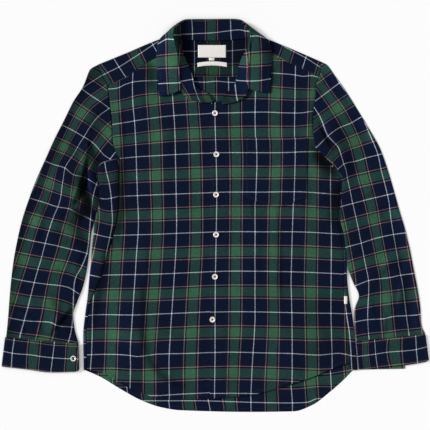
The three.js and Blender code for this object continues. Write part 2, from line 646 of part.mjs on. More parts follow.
// The chest pocket: the left front's own points, moved out by one wall and a gap.
function chestPocket() {
  const middle = (pocket.left + pocket.right) / 2;
  const bottom = (x) => mix(pocket.point, pocket.side, Math.abs(x - middle) / (middle - pocket.left));
  return sheet(grid(steps(6), steps(6), (s, t) => {
    const x = mix(pocket.left, pocket.right, s);
    const y = mix(bottom(x), pocket.top, t);
    return [x, y, frontLeftHeight(x, y) + wall + 2 * seamGap];
  }), { upright: true });
}

// A flat label or tab between four edges, resting on a layer whose top is at the given height.
function tab({ left, right, bottom, top }, onHeight, droop = 0) {
  const middle = (left + right) / 2;
  return sheet(grid(steps(4), steps(1), (s, t) => {
    const x = mix(left, right, s);
    const sag = droop * ((x - middle) / (right - middle)) ** 2;
    return [x, mix(bottom, top, t) - sag, onHeight + seamGap + labelWall / 2];
  }), { thickness: labelWall, upright: true });
}

// A four-hole shirt button: a raised rim round a sunk face. The holes are left to the surface finish.
function button() {
  const rim = [
    [0, 0], [buttonRadius - 0.5, 0], [buttonRadius, 0.6], [buttonRadius, buttonHeight - 0.6],
    [buttonRadius - 0.6, buttonHeight], [buttonRadius - 1.4, buttonHeight],
    [buttonRadius - 2.1, buttonHeight - 0.7], [0, buttonHeight - 0.7],
  ].map(([r, z]) => new THREE.Vector2(r, z));
  const geometry = new THREE.LatheGeometry(rim, 16);
  geometry.rotateX(Math.PI / 2);
  return geometry;
}

const flannel = (color) => new THREE.MeshStandardMaterial({ color, roughness: 0.95, metalness: 0 });
const glossy = (color) => new THREE.MeshStandardMaterial({ color, roughness: 0.3, metalness: 0 });

const shirt = new THREE.Group();
shirt.name = 'flannel_shirt';

function add(name, geometry, material, position = [0, 0, 0]) {
  const mesh = new THREE.Mesh(geometry, material);
  mesh.name = name;
  mesh.position.set(...position);
  shirt.add(mesh);
}

add('back', back(), flannel(colours.navy));
add('yoke', yoke(), flannel(colours.green));
add('front_right', frontRight(), flannel(colours.navy));
add('front_left', frontLeft(), flannel(colours.green));
add('sleeve_right', sleeve(sleeveRightRows, armholeRight, -1), flannel(colours.green));
add('sleeve_left', sleeve(sleeveLeftRows, armholeLeft, 1), flannel(colours.navy));
add('cuff_right', cuff(cuffRightRows, sleeveRightRows, cuffReach.right), flannel(colours.navy));
add('cuff_left', cuff(cuffLeftRows, sleeveLeftRows, cuffReach.left), flannel(colours.green));
add('collar_stand', collarStand(), flannel(colours.navy));
add('collar_fall', collarFall(), flannel(colours.green));
add('chest_pocket', chestPocket(), flannel(colours.navy));

frontButtons.forEach(({ x, y }, i) => {
  const seat = Math.max(...[-1, 0, 1].flatMap((u) => [-1, 0, 1].map((v) =>
    frontLeftHeight(x + u * buttonRadius, y + v * buttonRadius))));
  add(`button_${i + 1}`, button(), glossy(colours.button), [x, y, seat + wall / 2 + seamGap]);
});
const onUpperCuff = 2 * cuffWall + 1 + seamGap;
add('button_cuff_right', button(), glossy(colours.button), [cuffButton.x, cuffButton.y, onUpperCuff]);

const onYoke = wall;
add('label_neck', tab(neckLabel, onYoke), flannel(colours.cream));
add('label_size', tab(sizeTab, onYoke), flannel(colours.cream));
add('label_care', tab(careStrip, onYoke, 3), flannel(colours.cream));
add('label_side', tab(sideTab, upperMiddle + wall / 2), flannel(colours.cream));

export default shirt;
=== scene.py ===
# A checked flannel shirt laid flat on its back, seen from straight above.
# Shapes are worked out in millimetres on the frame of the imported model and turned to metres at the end.
import math

import bpy
import numpy as np
from mathutils.bvhtree import BVHTree
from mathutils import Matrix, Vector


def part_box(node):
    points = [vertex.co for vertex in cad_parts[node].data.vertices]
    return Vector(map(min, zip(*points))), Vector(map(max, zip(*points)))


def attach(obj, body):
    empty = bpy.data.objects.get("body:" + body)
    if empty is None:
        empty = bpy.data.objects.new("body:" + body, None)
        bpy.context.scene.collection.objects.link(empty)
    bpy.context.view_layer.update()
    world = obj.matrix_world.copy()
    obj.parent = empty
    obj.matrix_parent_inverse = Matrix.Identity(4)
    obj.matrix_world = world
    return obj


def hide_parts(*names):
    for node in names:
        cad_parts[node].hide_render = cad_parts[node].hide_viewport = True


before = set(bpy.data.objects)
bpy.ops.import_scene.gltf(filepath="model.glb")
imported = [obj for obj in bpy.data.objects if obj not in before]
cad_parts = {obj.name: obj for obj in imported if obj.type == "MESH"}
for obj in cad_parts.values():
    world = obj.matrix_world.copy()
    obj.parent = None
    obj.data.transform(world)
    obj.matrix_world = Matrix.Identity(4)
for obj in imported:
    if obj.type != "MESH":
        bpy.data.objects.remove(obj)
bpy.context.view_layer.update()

mm = 0.001
wall = 1.2                    # thickness of one layer of flannel
seamGap = 0.3
upperMiddle = 3.0             # an upper layer at its seams
turnReach = 2.0
settRepeat = 80.0             # one repeat of the check, both ways


def table(names, rows):
    # Rows of numbers under named columns, as one array for each column.
    columns = np.array(rows, float).T
    return dict(zip(names.split(), columns))


def curve(rows, key, value):
    # A smooth curve through the rows that never overshoots them (monotone cubic).
    k, v = rows[key], rows[value]
    slope = np.diff(v) / np.diff(k)
    product = slope[:-1] * slope[1:]
    total = np.where(product > 0, slope[:-1] + slope[1:], 1)
    inner = np.where(product > 0, 2 * product / total, 0)
    tangent = np.concatenate([slope[:1], inner, slope[-1:]])

    def at(q):
        q = np.clip(q, k[0], k[-1])
        i = np.clip(np.searchsorted(k, q, side="right") - 1, 0, len(k) - 2)
        span = k[i + 1] - k[i]
        u = (q - k[i]) / span
        bend = (1 - u) * tangent[i] - u * tangent[i + 1]
        return v[i] + u * u * (3 - 2 * u) * (v[i + 1] - v[i]) + span * u * (1 - u) * bend

    return at


def alongRows(rows, value):
    # The same with the rows evenly spaced from 0 to 1.
    stations = {"at": np.linspace(0, 1, len(rows[value])), "value": rows[value]}
    return curve(stations, "at", "value")


def mix(a, b, u):
    return a + (b - a) * u


def smooth(start, end, q):
    u = np.clip((q - start) / (end - start), 0, 1)
    return u * u * (3 - 2 * u)


def photoPoint(x, y):
    # A place in the photograph, in pixels, as millimetres on the frame: 2 mm to a pixel.
    return (np.asarray(x, float) - 215.25) * 2, (215 - np.asarray(y, float)) * 2


# Camera, light and floor
view = {
    "lens": 100.0,            # mm, on a 36 mm sensor
    "height": 2.392,          # m above the floor: 860 mm wide at the shirt
    "centreX": -0.0005,
    "sunStrength": 3.7,       # W/m2, low from the upper left
    "sunElevation": 34.0,     # degrees
    "sunBearing": 165.0,      # degrees from +X, counterclockwise
    "sunWidth": 14.0,         # degrees across, for soft shadows
    "skyStrength": 0.34,
    "floorColour": "#b4b4b4",
    "floorGlow": 0.52,        # a lit table: it keeps the shadows pale
}


def linear(code):
    # An sRGB hex colour as linear light.
    parts = [int(code[i:i + 2], 16) / 255 for i in (1, 3, 5)]
    return tuple(p / 12.92 if p <= 0.04045 else ((p + 0.055) / 1.055) ** 2.4 for p in parts) + (1.0,)


def addNode(tree, kind, settings=None, **links):
    # One node with its settings; each link names an input and the socket or value that feeds it.
    node = tree.nodes.new(kind)
    for name, value in (settings or {}).items():
        setattr(node, name, value)
    for name, source in links.items():
        key = int(name[1:]) if name[0] == "i" and name[1:].isdigit() else name.replace("_", " ")
        socket = node.inputs[key]
        if isinstance(source, bpy.types.NodeSocket):
            tree.links.new(source, socket)
        else:
            socket.default_value = source
    return node


def encoded(code):
    # The same colour left as it is written, for threads that are mixed before they are turned linear.
    return tuple(int(code[i:i + 2], 16) / 255 for i in (1, 3, 5)) + (1.0,)


def plainMaterial(name, colour, roughness, **values):
    material = bpy.data.materials.new(name)
    material.use_nodes = True
    shader = material.node_tree.nodes["Principled BSDF"]
    shader.inputs["Base Color"].default_value = linear(colour)
    shader.inputs["Roughness"].default_value = roughness
    for key, value in values.items():
        shader.inputs[key.replace("_", " ")].default_value = value
    return material


cameraData = bpy.data.cameras.new("camera")
cameraData.lens = view["lens"]
cameraData.sensor_width = 36
camera = bpy.data.objects.new("camera", cameraData)
camera.location = (view["centreX"], 0, view["height"])
bpy.context.scene.collection.objects.link(camera)
bpy.context.scene.camera = camera
bpy.context.scene.view_settings.view_transform = "Standard"


def sunLight(name, bearing, elevation, width, strength):
    data = bpy.data.lights.new(name, "SUN")
    data.angle = math.radians(width)
    data.energy = strength
    lamp = bpy.data.objects.new(name, data)
    lamp.rotation_euler = (0, math.radians(90 - elevation), math.radians(bearing))
    bpy.context.scene.collection.objects.link(lamp)
    return lamp


sunLight("window light", view["sunBearing"], view["sunElevation"], view["sunWidth"], view["sunStrength"])
world = bpy.data.worlds.new("studio")
world.use_nodes = True
world.node_tree.nodes["Background"].inputs["Color"].default_value = (1, 1, 1, 1)
world.node_tree.nodes["Background"].inputs["Strength"].default_value = view["skyStrength"]
bpy.context.scene.world = world

floorMesh = bpy.data.meshes.new("floor")
reach = 6.0
floorMesh.from_pydata(
    [(-reach, -reach, 0), (reach, -reach, 0), (reach, reach, 0), (-reach, reach, 0)], [], [(0, 1, 2, 3)])
floor = bpy.data.objects.new("floor", floorMesh)
floorMaterial = plainMaterial("white glowing floor with painted contact shade", view["floorColour"], 0.9, Emission_Color=(1, 1, 1, 1),
                              Specular_IOR_Level=0.0)
floorTree = floorMaterial.node_tree
# Painted contact shade: the glow fades where cloth covers the table closely, which darkens the table under
# and beside the cloth.
opening = addNode(floorTree, "ShaderNodeAmbientOcclusion", {"samples": 8}, Distance=0.02)
glow = addNode(floorTree, "ShaderNodeMapRange", None, Value=opening.outputs["AO"],
               From_Min=0.3, From_Max=0.8, To_Min=0.0, To_Max=view["floorGlow"])
floorTree.links.new(glow.outputs[0], floorTree.nodes["Principled BSDF"].inputs["Emission Strength"])
floorMesh.materials.append(floorMaterial)
floor.location.z = -0.0002
bpy.context.scene.collection.objects.link(floor)
print("camera, light and floor are in place")


# Flannel: a check of coloured threads both ways, in the cloth's own millimetres
flannelLook = {
    "navy": "#0e182c",
    "dark": "#070c16",        # narrow band on both sides of the green
    "green": "#375d47",
    "white": "#fbfdff",
    "orange": "#b27e72",
    "threadPitch": 0.9,       # mm between twill ribs
    "fuzzSize": 0.7,          # mm
    "slubSize": 3.5,          # mm between thicker and thinner places in the yarn
    "slubDepth": 0.22,
    "roughness": 0.93,
}


def settStops():
    # Where the colours of one repeat begin and end, in millimetres, with soft borders.
    bands = [
        (0.0, 0.6, "white"), (1.1, 26.2, "navy"), (26.7, 28.0, "orange"), (28.5, 30.6, "dark"),
        (31.2, 49.3, "green"), (49.9, 52.0, "dark"), (52.5, 53.8, "orange"), (54.3, 78.9, "navy"),
        (79.4, 80.0, "white"),
    ]
    for start, end, colour in bands:
        yield start / settRepeat, flannelLook[colour]
        yield min(end / settRepeat, 1.0), flannelLook[colour]


def settColour(tree, coordinate, sense):
    # The thread colour at a place along the cloth: the remainder within one repeat, through a ramp.
    scaled = addNode(tree, "ShaderNodeMath", {"operation": "MULTIPLY"},
                     i0=coordinate, i1=sense / settRepeat)
    part = addNode(tree, "ShaderNodeMath", {"operation": "FRACT"}, i0=scaled.outputs[0])
    ramp = addNode(tree, "ShaderNodeValToRGB", None, Fac=part.outputs[0])
    stops = list(settStops())
    elements = ramp.color_ramp.elements
    while len(elements) < len(stops):
        elements.new(0.5)
    for element, (place, colour) in zip(elements, stops):
        element.position = place
        element.color = encoded(colour)
    return ramp.outputs["Color"]


def flannelMaterial(name, ribAmount=0.22):
    material = bpy.data.materials.new(name)
    material.use_nodes = True
    tree = material.node_tree
    shader = tree.nodes["Principled BSDF"]
    cloth = addNode(tree, "ShaderNodeUVMap", {"uv_map": "cloth"})
    across = addNode(tree, "ShaderNodeSeparateXYZ", None, Vector=cloth.outputs["UV"])
    warp = settColour(tree, across.outputs["X"], 1)
    weft = settColour(tree, across.outputs["Y"], -1)
    # Twill: ribs run diagonally, and each shows the warp and the weft by turns.
    diagonal = addNode(tree, "ShaderNodeMath", {"operation": "ADD"},
                       i0=across.outputs["X"], i1=across.outputs["Y"])
    turns = addNode(tree, "ShaderNodeMath", {"operation": "MULTIPLY"},
                    i0=diagonal.outputs[0], i1=2 * math.pi / flannelLook["threadPitch"])
    rib = addNode(tree, "ShaderNodeMath", {"operation": "SINE"}, i0=turns.outputs[0])
    share = addNode(tree, "ShaderNodeMath", {"operation": "MULTIPLY_ADD"},
                    i0=rib.outputs[0], i1=ribAmount, i2=0.5)
    threads = addNode(tree, "ShaderNodeMix", {"data_type": "RGBA"}, i0=share.outputs[0], i6=warp, i7=weft)
    # Brushed nap: a fine, uneven bloom over the threads, and a slower fading of the dye.
    nap = addNode(tree, "ShaderNodeTexNoise", None, Vector=cloth.outputs["UV"],
                  Scale=1 / flannelLook["fuzzSize"], Detail=3.0, Roughness=0.7)
    fade = addNode(tree, "ShaderNodeTexNoise", None, Vector=cloth.outputs["UV"], Scale=0.03, Detail=2.0)
    napRange = addNode(tree, "ShaderNodeMapRange", None, Value=nap.outputs["Fac"],
                       From_Min=0.25, From_Max=0.75, To_Min=0.72, To_Max=1.28)
    fadeRange = addNode(tree, "ShaderNodeMapRange", None, Value=fade.outputs["Fac"],
                        From_Min=0.3, From_Max=0.7, To_Min=0.9, To_Max=1.1)
    slub = addNode(tree, "ShaderNodeTexNoise", None, Vector=cloth.outputs["UV"],
                   Scale=1 / flannelLook["slubSize"], Detail=2.0, Roughness=0.6)
    depth = flannelLook["slubDepth"]
    slubRange = addNode(tree, "ShaderNodeMapRange", None, Value=slub.outputs["Fac"],
                        From_Min=0.3, From_Max=0.7, To_Min=1 - depth, To_Max=1 + depth)
    yarn = addNode(tree, "ShaderNodeMath", {"operation": "MULTIPLY"},
                   i0=slubRange.outputs[0], i1=fadeRange.outputs[0])
    dyeBloom = addNode(tree, "ShaderNodeMath", {"operation": "MULTIPLY"},
                       i0=napRange.outputs[0], i1=yarn.outputs[0])
    # Painted light and shade: a factor stored at each point of the mesh scales the colour, darker in hollows
    # and lighter on edges and collar leaves.
    paintedLightAndShade = addNode(tree, "ShaderNodeAttribute", {"attribute_name": "paintedLightAndShade"})
    bloomAndPaintedLight = addNode(tree, "ShaderNodeMath", {"operation": "MULTIPLY"},
                    i0=dyeBloom.outputs[0], i1=paintedLightAndShade.outputs["Fac"])
    dyed = addNode(tree, "ShaderNodeGamma", None, Color=threads.outputs[2], Gamma=2.2)
    tinted = addNode(tree, "ShaderNodeVectorMath", {"operation": "SCALE"},
                     i0=dyed.outputs[0], Scale=bloomAndPaintedLight.outputs[0])
    tree.links.new(tinted.outputs[0], shader.inputs["Base Color"])
    relief = addNode(tree, "ShaderNodeMath", {"operation": "MULTIPLY_ADD"},
                     i0=rib.outputs[0], i1=0.25, i2=nap.outputs["Fac"])
    bump = addNode(tree, "ShaderNodeBump", None, Height=relief.outputs[0], Strength=0.5, Distance=0.0003)
    tree.links.new(bump.outputs[0], shader.inputs["Normal"])
    shader.inputs["Roughness"].default_value = flannelLook["roughness"]
    shader.inputs["Specular IOR Level"].default_value = 0.08
    shader.inputs["Sheen Weight"].default_value = 0.03
    shader.inputs["Sheen Roughness"].default_value = 0.5
    return material


flannel = flannelMaterial("brushed cotton flannel, navy and green check")
threadMaterial = plainMaterial("navy sewing thread", "#111a30", 0.7)
buttonMaterial = plainMaterial("cream shirt button", "#e9e4d8", 0.25, Coat_Weight=0.4)
holeMaterial = plainMaterial("shaded flannel in the button's holes", "#14151b", 0.9)
print("materials are made")


def plateSpline(x, y, values):
    # A bending plate through scattered heights: a plane plus r^2 log r for each point.
    pts = np.stack([x, y], 1) / 100
    count = len(pts)
    gap = np.linalg.norm(pts[:, None] - pts[None], axis=2)
    kernel = gap ** 2 * np.log(gap + 1e-9) + np.eye(count) * 2e-3
    plane = np.hstack([np.ones((count, 1)), pts])
    system = np.block([[kernel, plane], [plane.T, np.zeros((3, 3))]])
    weights = np.linalg.solve(system, np.concatenate([values, np.zeros(3)]))

    def at(px, py):
        shape = np.shape(px)
        q = np.stack([np.ravel(px), np.ravel(py)], 1) / 100
        far = np.linalg.norm(q[:, None] - pts[None], axis=2)
        bent = (far ** 2 * np.log(far + 1e-9)) @ weights[:count]
        return (bent + weights[count] + q @ weights[count + 1:]).reshape(shape)

    return at


def checkLines(lines):
    # Lines of the check: each has its number of repeats and the pixels that it passes through.
    number = np.concatenate([np.full(len(pixels), float(k)) for k, pixels in lines])
    x, y = photoPoint(*np.array([p for _, pixels in lines for p in pixels]).T)
    return plateSpline(x, y, number * settRepeat)


def clothMap(upright, level):
    # Cloth coordinates at a place: the upright lines give the first, the level lines the second.
    u, v = checkLines(upright), checkLines(level)
    return lambda x, y: np.stack([u(x, y), v(x, y)], -1)


# Offsets of the orange lines from the white line before them, in repeats of the check.
firstOrange, secondOrange = 0.3425, 0.664
lowOrange, highOrange = 1 - secondOrange, 1 - firstOrange      # upwards, the check runs the other way


def cells(length, step, ends=(0.4, 1.0, 2.0)):
    # Parts from 0 to 1 along a length, close together at both ends for the rounded edges.
    count = max(2, int(round(length / step)))
    edge = np.array(ends) / length
    parts = np.concatenate([np.linspace(0, 1, count + 1), edge, 1 - edge])
    return np.unique(np.round(parts, 6))


def gridObject(name, points, uv, material=None, around=False, thickness=wall, keep=None, flip=False,
               paintedLightAndShade=1.0):
    # A grid of points as quads, thickened inwards. keep masks the cells that are cloth, and the last
    # argument is painted light and shade at each point, a factor on the cloth's colour.
    across, along = points.shape[:2]
    index = np.arange(across * along).reshape(across, along)
    a = index if around else index[:-1]
    b = np.roll(index, -1, axis=0) if around else index[1:]
    quads = np.stack([a[:, :-1], b[:, :-1], b[:, 1:], a[:, 1:]], -1)
    quads = quads[keep] if keep is not None else quads.reshape(-1, 4)
    if flip:
        quads = quads[:, ::-1]
    used, quads = np.unique(quads, return_inverse=True)
    quads = quads.reshape(-1, 4)
    places = points.reshape(-1, 3)[used] * mm
    mesh = bpy.data.meshes.new(name)
    mesh.vertices.add(len(places))
    mesh.vertices.foreach_set("co", places.ravel())
    mesh.loops.add(quads.size)
    mesh.loops.foreach_set("vertex_index", quads.ravel())
    mesh.polygons.add(len(quads))
    mesh.polygons.foreach_set("loop_start", np.arange(0, quads.size, 4))
    mesh.polygons.foreach_set("use_smooth", np.ones(len(quads), bool))
    mesh.update(calc_edges=True)
    layer = mesh.uv_layers.new(name="cloth")
    layer.data.foreach_set("uv", uv.reshape(-1, 2)[used][quads.ravel()].ravel())
    paintedLightLayer = mesh.attributes.new("paintedLightAndShade", "FLOAT", "POINT")
    spread = np.broadcast_to(paintedLightAndShade, points.shape[:2]).reshape(-1)[used]
    paintedLightLayer.data.foreach_set("value", spread.astype(np.float32))
    mesh.materials.append(material or flannel)
    item = bpy.data.objects.new(name, mesh)
    bpy.context.scene.collection.objects.link(item)
    if thickness:
        solid = item.modifiers.new("thickness", "SOLIDIFY")
        solid.thickness = thickness * mm
        solid.offset = -1
        solid.use_even_offset = False
    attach(item, "root")
    return item


# Outline of the body, shared by back, fronts, yoke and sleeves
sides = table("y rightSide rightSeam leftSeam leftSide", [
    (-310, -262, -257, 269, 284),
    (-240, -263, -258, 265, 278),
    (-198, -259, -254, 262, 272.5),
    (-166, -254.5, -246.5, 259.5, 267),
    (-122, -250.5, -227.5, 257.5, 262.5),
    (-98, -248, -222.5, 257, 262),
    (-70, -246, -212.5, 256.5, 261.5),
    (-36, -242.5, -202, 252, 257),
    (-12, -239.5, -196, 246.5, 251.5),
    (16, -233.5, -192, 247, 252),
    (50, -229.5, -191, 250, 255),
    (76, -236, -191, 251, 256),
    (90, -234, -190.8, 240.5, 245.5),
    (99, -231, -190.6, 231, 236),
    (108, -211, -190.2, 223.5, 228.5),
])
armholeRight = table("y x", [
    (112, -190), (126, -199.5), (154, -206), (182, -207), (230, -212.5), (259, -215.8), (280, -226),
    (301, -234.5),
])
armholeLeft = table("y x", [
    (78, 250.2), (90, 239.5), (99, 230.5), (108, 222), (120, 210.5), (134, 200.3), (168, 196.5),
    (206, 196.5), (234, 200.5), (262, 202.5), (276, 208.5), (291, 211.5), (307, 211),
])
lapLeft = table("y x", [                      # the left front reaches a little under the sleeve's fold
    (78, 252), (90, 248), (99, 242), (108, 234), (120, 222), (134, 209), (150, 200), (168, 196.5),
    (206, 196.5), (234, 200.5), (262, 202.5), (276, 208.5), (291, 211.5), (307, 211),
])
placketEdge, underlapEdge = -10.5, 13.5
necklineRight = table("y x", [
    (214, 13.5), (222, 12), (231, -7), (242.5, -16), (249.5, -30), (254, -38), (258, -42),
    (272, -44.5), (286, -48.5), (304, -56.5), (322, -66.5), (337, -74),
])
necklineLeft = table("y x", [
    (216, -10.5), (221, -10), (229, 11), (242.5, 20), (249.5, 31), (254, 37), (262, 39.5),
    (280, 42.5), (300, 49.5), (318, 55.5), (334, 63.5), (340, 69.5),
])
yokeSeamRight = table("x y", [(-215.8, 259), (-178.5, 275), (-138.5, 303), (-116.5, 315), (-74, 337)])
yokeSeamLeft = table("x y", [
    (69.5, 340), (111.5, 322), (127.5, 315), (150.5, 303), (174.5, 293), (208.5, 276),
])
shoulderLine = table("x y", [
    (-234.5, 301), (-180.5, 323), (-110.5, 352), (-92, 357.5), (-74, 357), (-64, 351.5), (-20, 350.5),
    (20, 351.5), (48, 353.5), (60, 355), (69.5, 357), (90, 356.5), (109.5, 350), (159.5, 329.4),
    (211, 307),
])
backSeam = 277.0
backHem = table("x y", [
    (-262, -310), (-230.5, -324), (-190.5, -348), (-150.5, -370), (-110.5, -384.6), (-70.5, -391),
    (71.5, -394.4), (157.5, -393.2), (193.5, -381), (233.5, -351), (256.5, -330.6), (284, -302),
])
frontHem = table("x y", [
    (-257, -309), (-222.5, -316), (-198.5, -332), (-174.5, -345), (-146.5, -356), (-116.5, -366),
    (-88.5, -369), (-6.5, -367), (77.5, -359), (121, -348), (201.5, -322), (234.7, -308), (269, -296),
])

# Folds of the upper layers: crest from start over mid to end, its height, and the slopes' widths
folds = table("startX startY midX midY endX endY height leftWidth rightWidth", [
    (-120, 150, -118, 0, -130, -190, 2.5, 60, 60),        # air in the wearer's right front
    (120, 170, 128, 0, 120, -190, 2.5, 60, 60),           # air in the wearer's left front
    (-254, 162, -262, 92, -292, 8, 12, 3.2, 22),          # deep fold at the right armpit
    (-250, 146, -251, 74, -234, 0, 7, 14, 3.5),           # second lip beside its hollow
    (262, 74, 244, 140, 212, 200, 8, 5, 18),              # crease of the left sleeve's flap
    (-282, -178, -306, -204, -336, -244, 6, 3.5, 13),     # turned edge above the right cuff
    (386, -88, 372, -140, 366, -196, 4, 12, 4),           # tuck along the left forearm
    (-262, -60, -276, -96, -280, -160, 3, 6, 10),         # crease behind the right elbow
])
# Small creases of the same kind, too low to matter to the solid
creases = table("startX startY midX midY endX endY height leftWidth rightWidth", [
    (-214, -20, -205, -32, -186, -40, 1.0, 4, 9),
    (-212, -262, -200, -268, -190, -274, 1.2, 4, 8),
    (-242, -150, -222, -160, -196, -166, 1.1, 5, 9),
    (-238, -192, -210, -196, -176, -196, 0.9, 5, 12),
    (-100, -300, -90, -322, -82, -352, 0.8, 6, 12),
    (-40, -290, -36, -320, -38, -352, 0.7, 8, 12),
    (150, -262, 158, -300, 172, -326, 0.9, 7, 12),
    (214, -228, 222, -256, 236, -290, 1.1, 6, 12),
    (190, 60, 176, 20, 180, -40, 1.1, 9, 14),
    (236, 50, 214, 34, 196, 8, 1.2, 6, 10),
    (-186, 90, -172, 60, -170, 10, 1.0, 8, 14),
    (-160, 240, -140, 200, -136, 150, 0.9, 9, 14),
    (172, 262, 160, 226, 168, 180, 0.8, 9, 14),
    (60, -40, 70, -110, 62, -180, 0.9, 12, 20),
    (-60, 90, -52, 20, -60, -60, 0.8, 12, 20),
    (-300, 180, -322, 130, -338, 70, 1.6, 9, 16),
    (-352, 40, -350, -10, -368, -70, 1.8, 8, 18),
    (-300, 60, -312, 0, -330, -60, 1.4, 10, 16),
    (-398, -130, -380, -160, -350, -180, 1.2, 6, 12),
    (-400, -190, -372, -206, -352, -236, 1.4, 6, 12),
    (300, 150, 322, 96, 330, 40, 1.6, 9, 16),
    (270, 30, 300, 6, 340, -2, 1.5, 7, 13),
    (268, -60, 300, -70, 338, -66, 1.3, 6, 12),
    (392, -60, 360, -88, 330, -96, 1.3, 7, 14),
    (300, -150, 312, -190, 320, -236, 1.5, 7, 12),
    (352, -150, 350, -190, 356, -236, 1.2, 7, 12),
    (230, 250, 262, 220, 280, 190, 1.4, 7, 14),
    (206, 190, 221, 160, 236, 130, -2.4, 4, 4),           # hollow beside the flap's crease
    (-190, 232, -187, 110, -189, -40, 1.7, 4, 16),        # soft fold below the right yoke seam
    (-142, -36, -140, -110, -146, -190, 1.2, 5, 18),
    (-178, -190, -150, -240, -146, -300, 1.3, 5, 18),
    (120, -20, 126, -90, 124, -170, 1.3, 5, 20),
    (90, 8, 84, -70, 88, -150, 1.0, 6, 18),
    (186, 236, 190, 190, 186, 140, 1.4, 4, 14),
    (-96, 226, -92, 170, -98, 90, 0.9, 6, 18),
    (-270, 10, -252, 0, -238, -12, 1.6, 4, 7),            # small tucks at the right elbow
    (-300, 34, -276, 18, -256, 12, 1.4, 4, 8),
    (-330, 96, -306, 84, -280, 86, 1.4, 5, 9),
    (-268, 186, -246, 168, -226, 164, 1.3, 5, 9),
    (-340, -30, -318, -44, -290, -50, 1.2, 5, 10),
    (-372, -96, -340, -108, -306, -106, 1.2, 5, 10),
    (-386, -214, -384, -228, -386, -244, 1.3, 4, 6),      # gathers into the cuffs
    (-352, -206, -350, -226, -352, -244, 1.5, 4, 6),
    (-318, -220, -316, -232, -318, -248, 1.3, 4, 6),
    (302, -196, 302, -220, 300, -246, 1.5, 4, 6),
    (336, -190, 338, -216, 336, -244, 1.5, 4, 6),
    (378, -188, 382, -212, 384, -238, 1.5, 4, 6),
    (404, -176, 402, -200, 406, -230, 1.2, 4, 6),
    (318, 60, 300, 40, 276, 30, 1.3, 5, 9),
    (350, 20, 322, 12, 296, -6, 1.2, 5, 9),
    (360, -90, 330, -112, 300, -120, 1.2, 5, 9),
])


def foldHeight(fold, x, y):
    # A bell across a bent crest of ten straight stretches, fading towards both ends.
    pieces = 10
    u = np.linspace(0, 1, pieces + 1)
    weights = ((1 - u) * (1 - 2 * u), 4 * u * (1 - u), u * (2 * u - 1))
    crestX = weights[0] * fold["startX"] + weights[1] * fold["midX"] + weights[2] * fold["endX"]
    crestY = weights[0] * fold["startY"] + weights[1] * fold["midY"] + weights[2] * fold["endY"]
    ax, ay = crestX[:-1], crestY[:-1]
    dx, dy = np.diff(crestX), np.diff(crestY)
    offX, offY = x[..., None] - ax, y[..., None] - ay
    part = np.clip((offX * dx + offY * dy) / (dx * dx + dy * dy), 0, 1)
    distance = np.hypot(offX - part * dx, offY - part * dy)
    nearest = np.argmin(distance, -1)[..., None]
    pick = lambda values: np.take_along_axis(values, nearest, -1)[..., 0]
    side = pick(dx * offY - dy * offX)
    along = (nearest[..., 0] + pick(part)) / pieces
    width = np.where(side > 0, fold["leftWidth"], fold["rightWidth"])
    fade = smooth(0, 0.3, along) * (1 - smooth(0.75, 1, along))
    return fold["height"] * fade * np.exp(-((pick(distance) / width) ** 2))


def sumFolds(rows, x, y):
    total = np.zeros(np.shape(x))
    for i in range(len(rows["height"])):
        total = total + foldHeight({name: column[i] for name, column in rows.items()}, x, y)
    return total


def ripple(x, y):
    # Slow, low swells of cloth that was pressed by hand: five crossing waves.
    waves = [(0.031, 0.012, 0.4), (0.014, -0.037, 1.9), (0.052, 0.029, 3.1), (0.021, 0.058, 5.2),
             (0.067, -0.041, 0.9)]
    return sum(0.16 * np.sin(ax * x + ay * y + phase) for ax, ay, phase in waves)


def upperHeight(x, y):
    return upperMiddle + sumFolds(folds, x, y) + 1.6 * sumFolds(creases, x, y) + ripple(x, y)


# Painted shade in hollows of the cloth that hardly any light reaches, and painted highlights on crests and
# turned edges (less than zero)
hollowNames = "startX startY midX midY endX endY height leftWidth rightWidth"
bodyPaintedShading = table(hollowNames, [
    (-196, 140, -190, 30, -204, -60, 1.4, 11, 9),         # beside the right side seam
    (190, 160, 210, 112, 240, 66, 0.9, 12, 12),           # under the left sleeve's fold
    (240, 66, 236, 20, 236, -30, 1.1, 9, 9),
    (-200, -16, -226, -120, -248, -252, 0.9, 7, 7),
    (-134, 316, -130, 284, -126, 246, 0.8, 8, 8),         # beside the collar's leaves
    (112, 306, 115, 280, 118, 258, 0.4, 7, 7),
    (-241, -20, -243, -70, -252, -150, -0.35, 12, 12),    # turned side edges
    (-256, -130, -259, -220, -262, -310, -0.5, 6, 6),
    (262, -80, 262, -110, 264, -140, -0.4, 7, 7),
    (278, -200, 281, -230, 282, -262, -0.5, 7, 7),
    (-214, 156, -204, 124, -196, 98, 0.5, 8, 8),
    (196, 130, 220, 104, 248, 76, 1.3, 9, 9),             # under the left sleeve's flap
    (246, 84, 252, 6, 260, -76, 1.0, 3, 9),               # along the left sleeve
    (124, 40, 128, -60, 132, -236, 0.45, 5, 5),           # soft vertical folds
    (110, 126, 114, 90, 116, 56, 0.3, 6, 6),
    (74, 44, 76, 16, 76, -10, 0.5, 5, 5),
    (-146, -120, -144, -200, -140, -292, 0.8, 6, 6),
    (-144, -250, -112, -316, -46, -346, 0.7, 6, 6),
    (210, -130, 216, -220, 206, -310, 0.25, 40, 40),
    (-200, -130, -196, -240, -186, -350, -0.25, 26, 26),
])
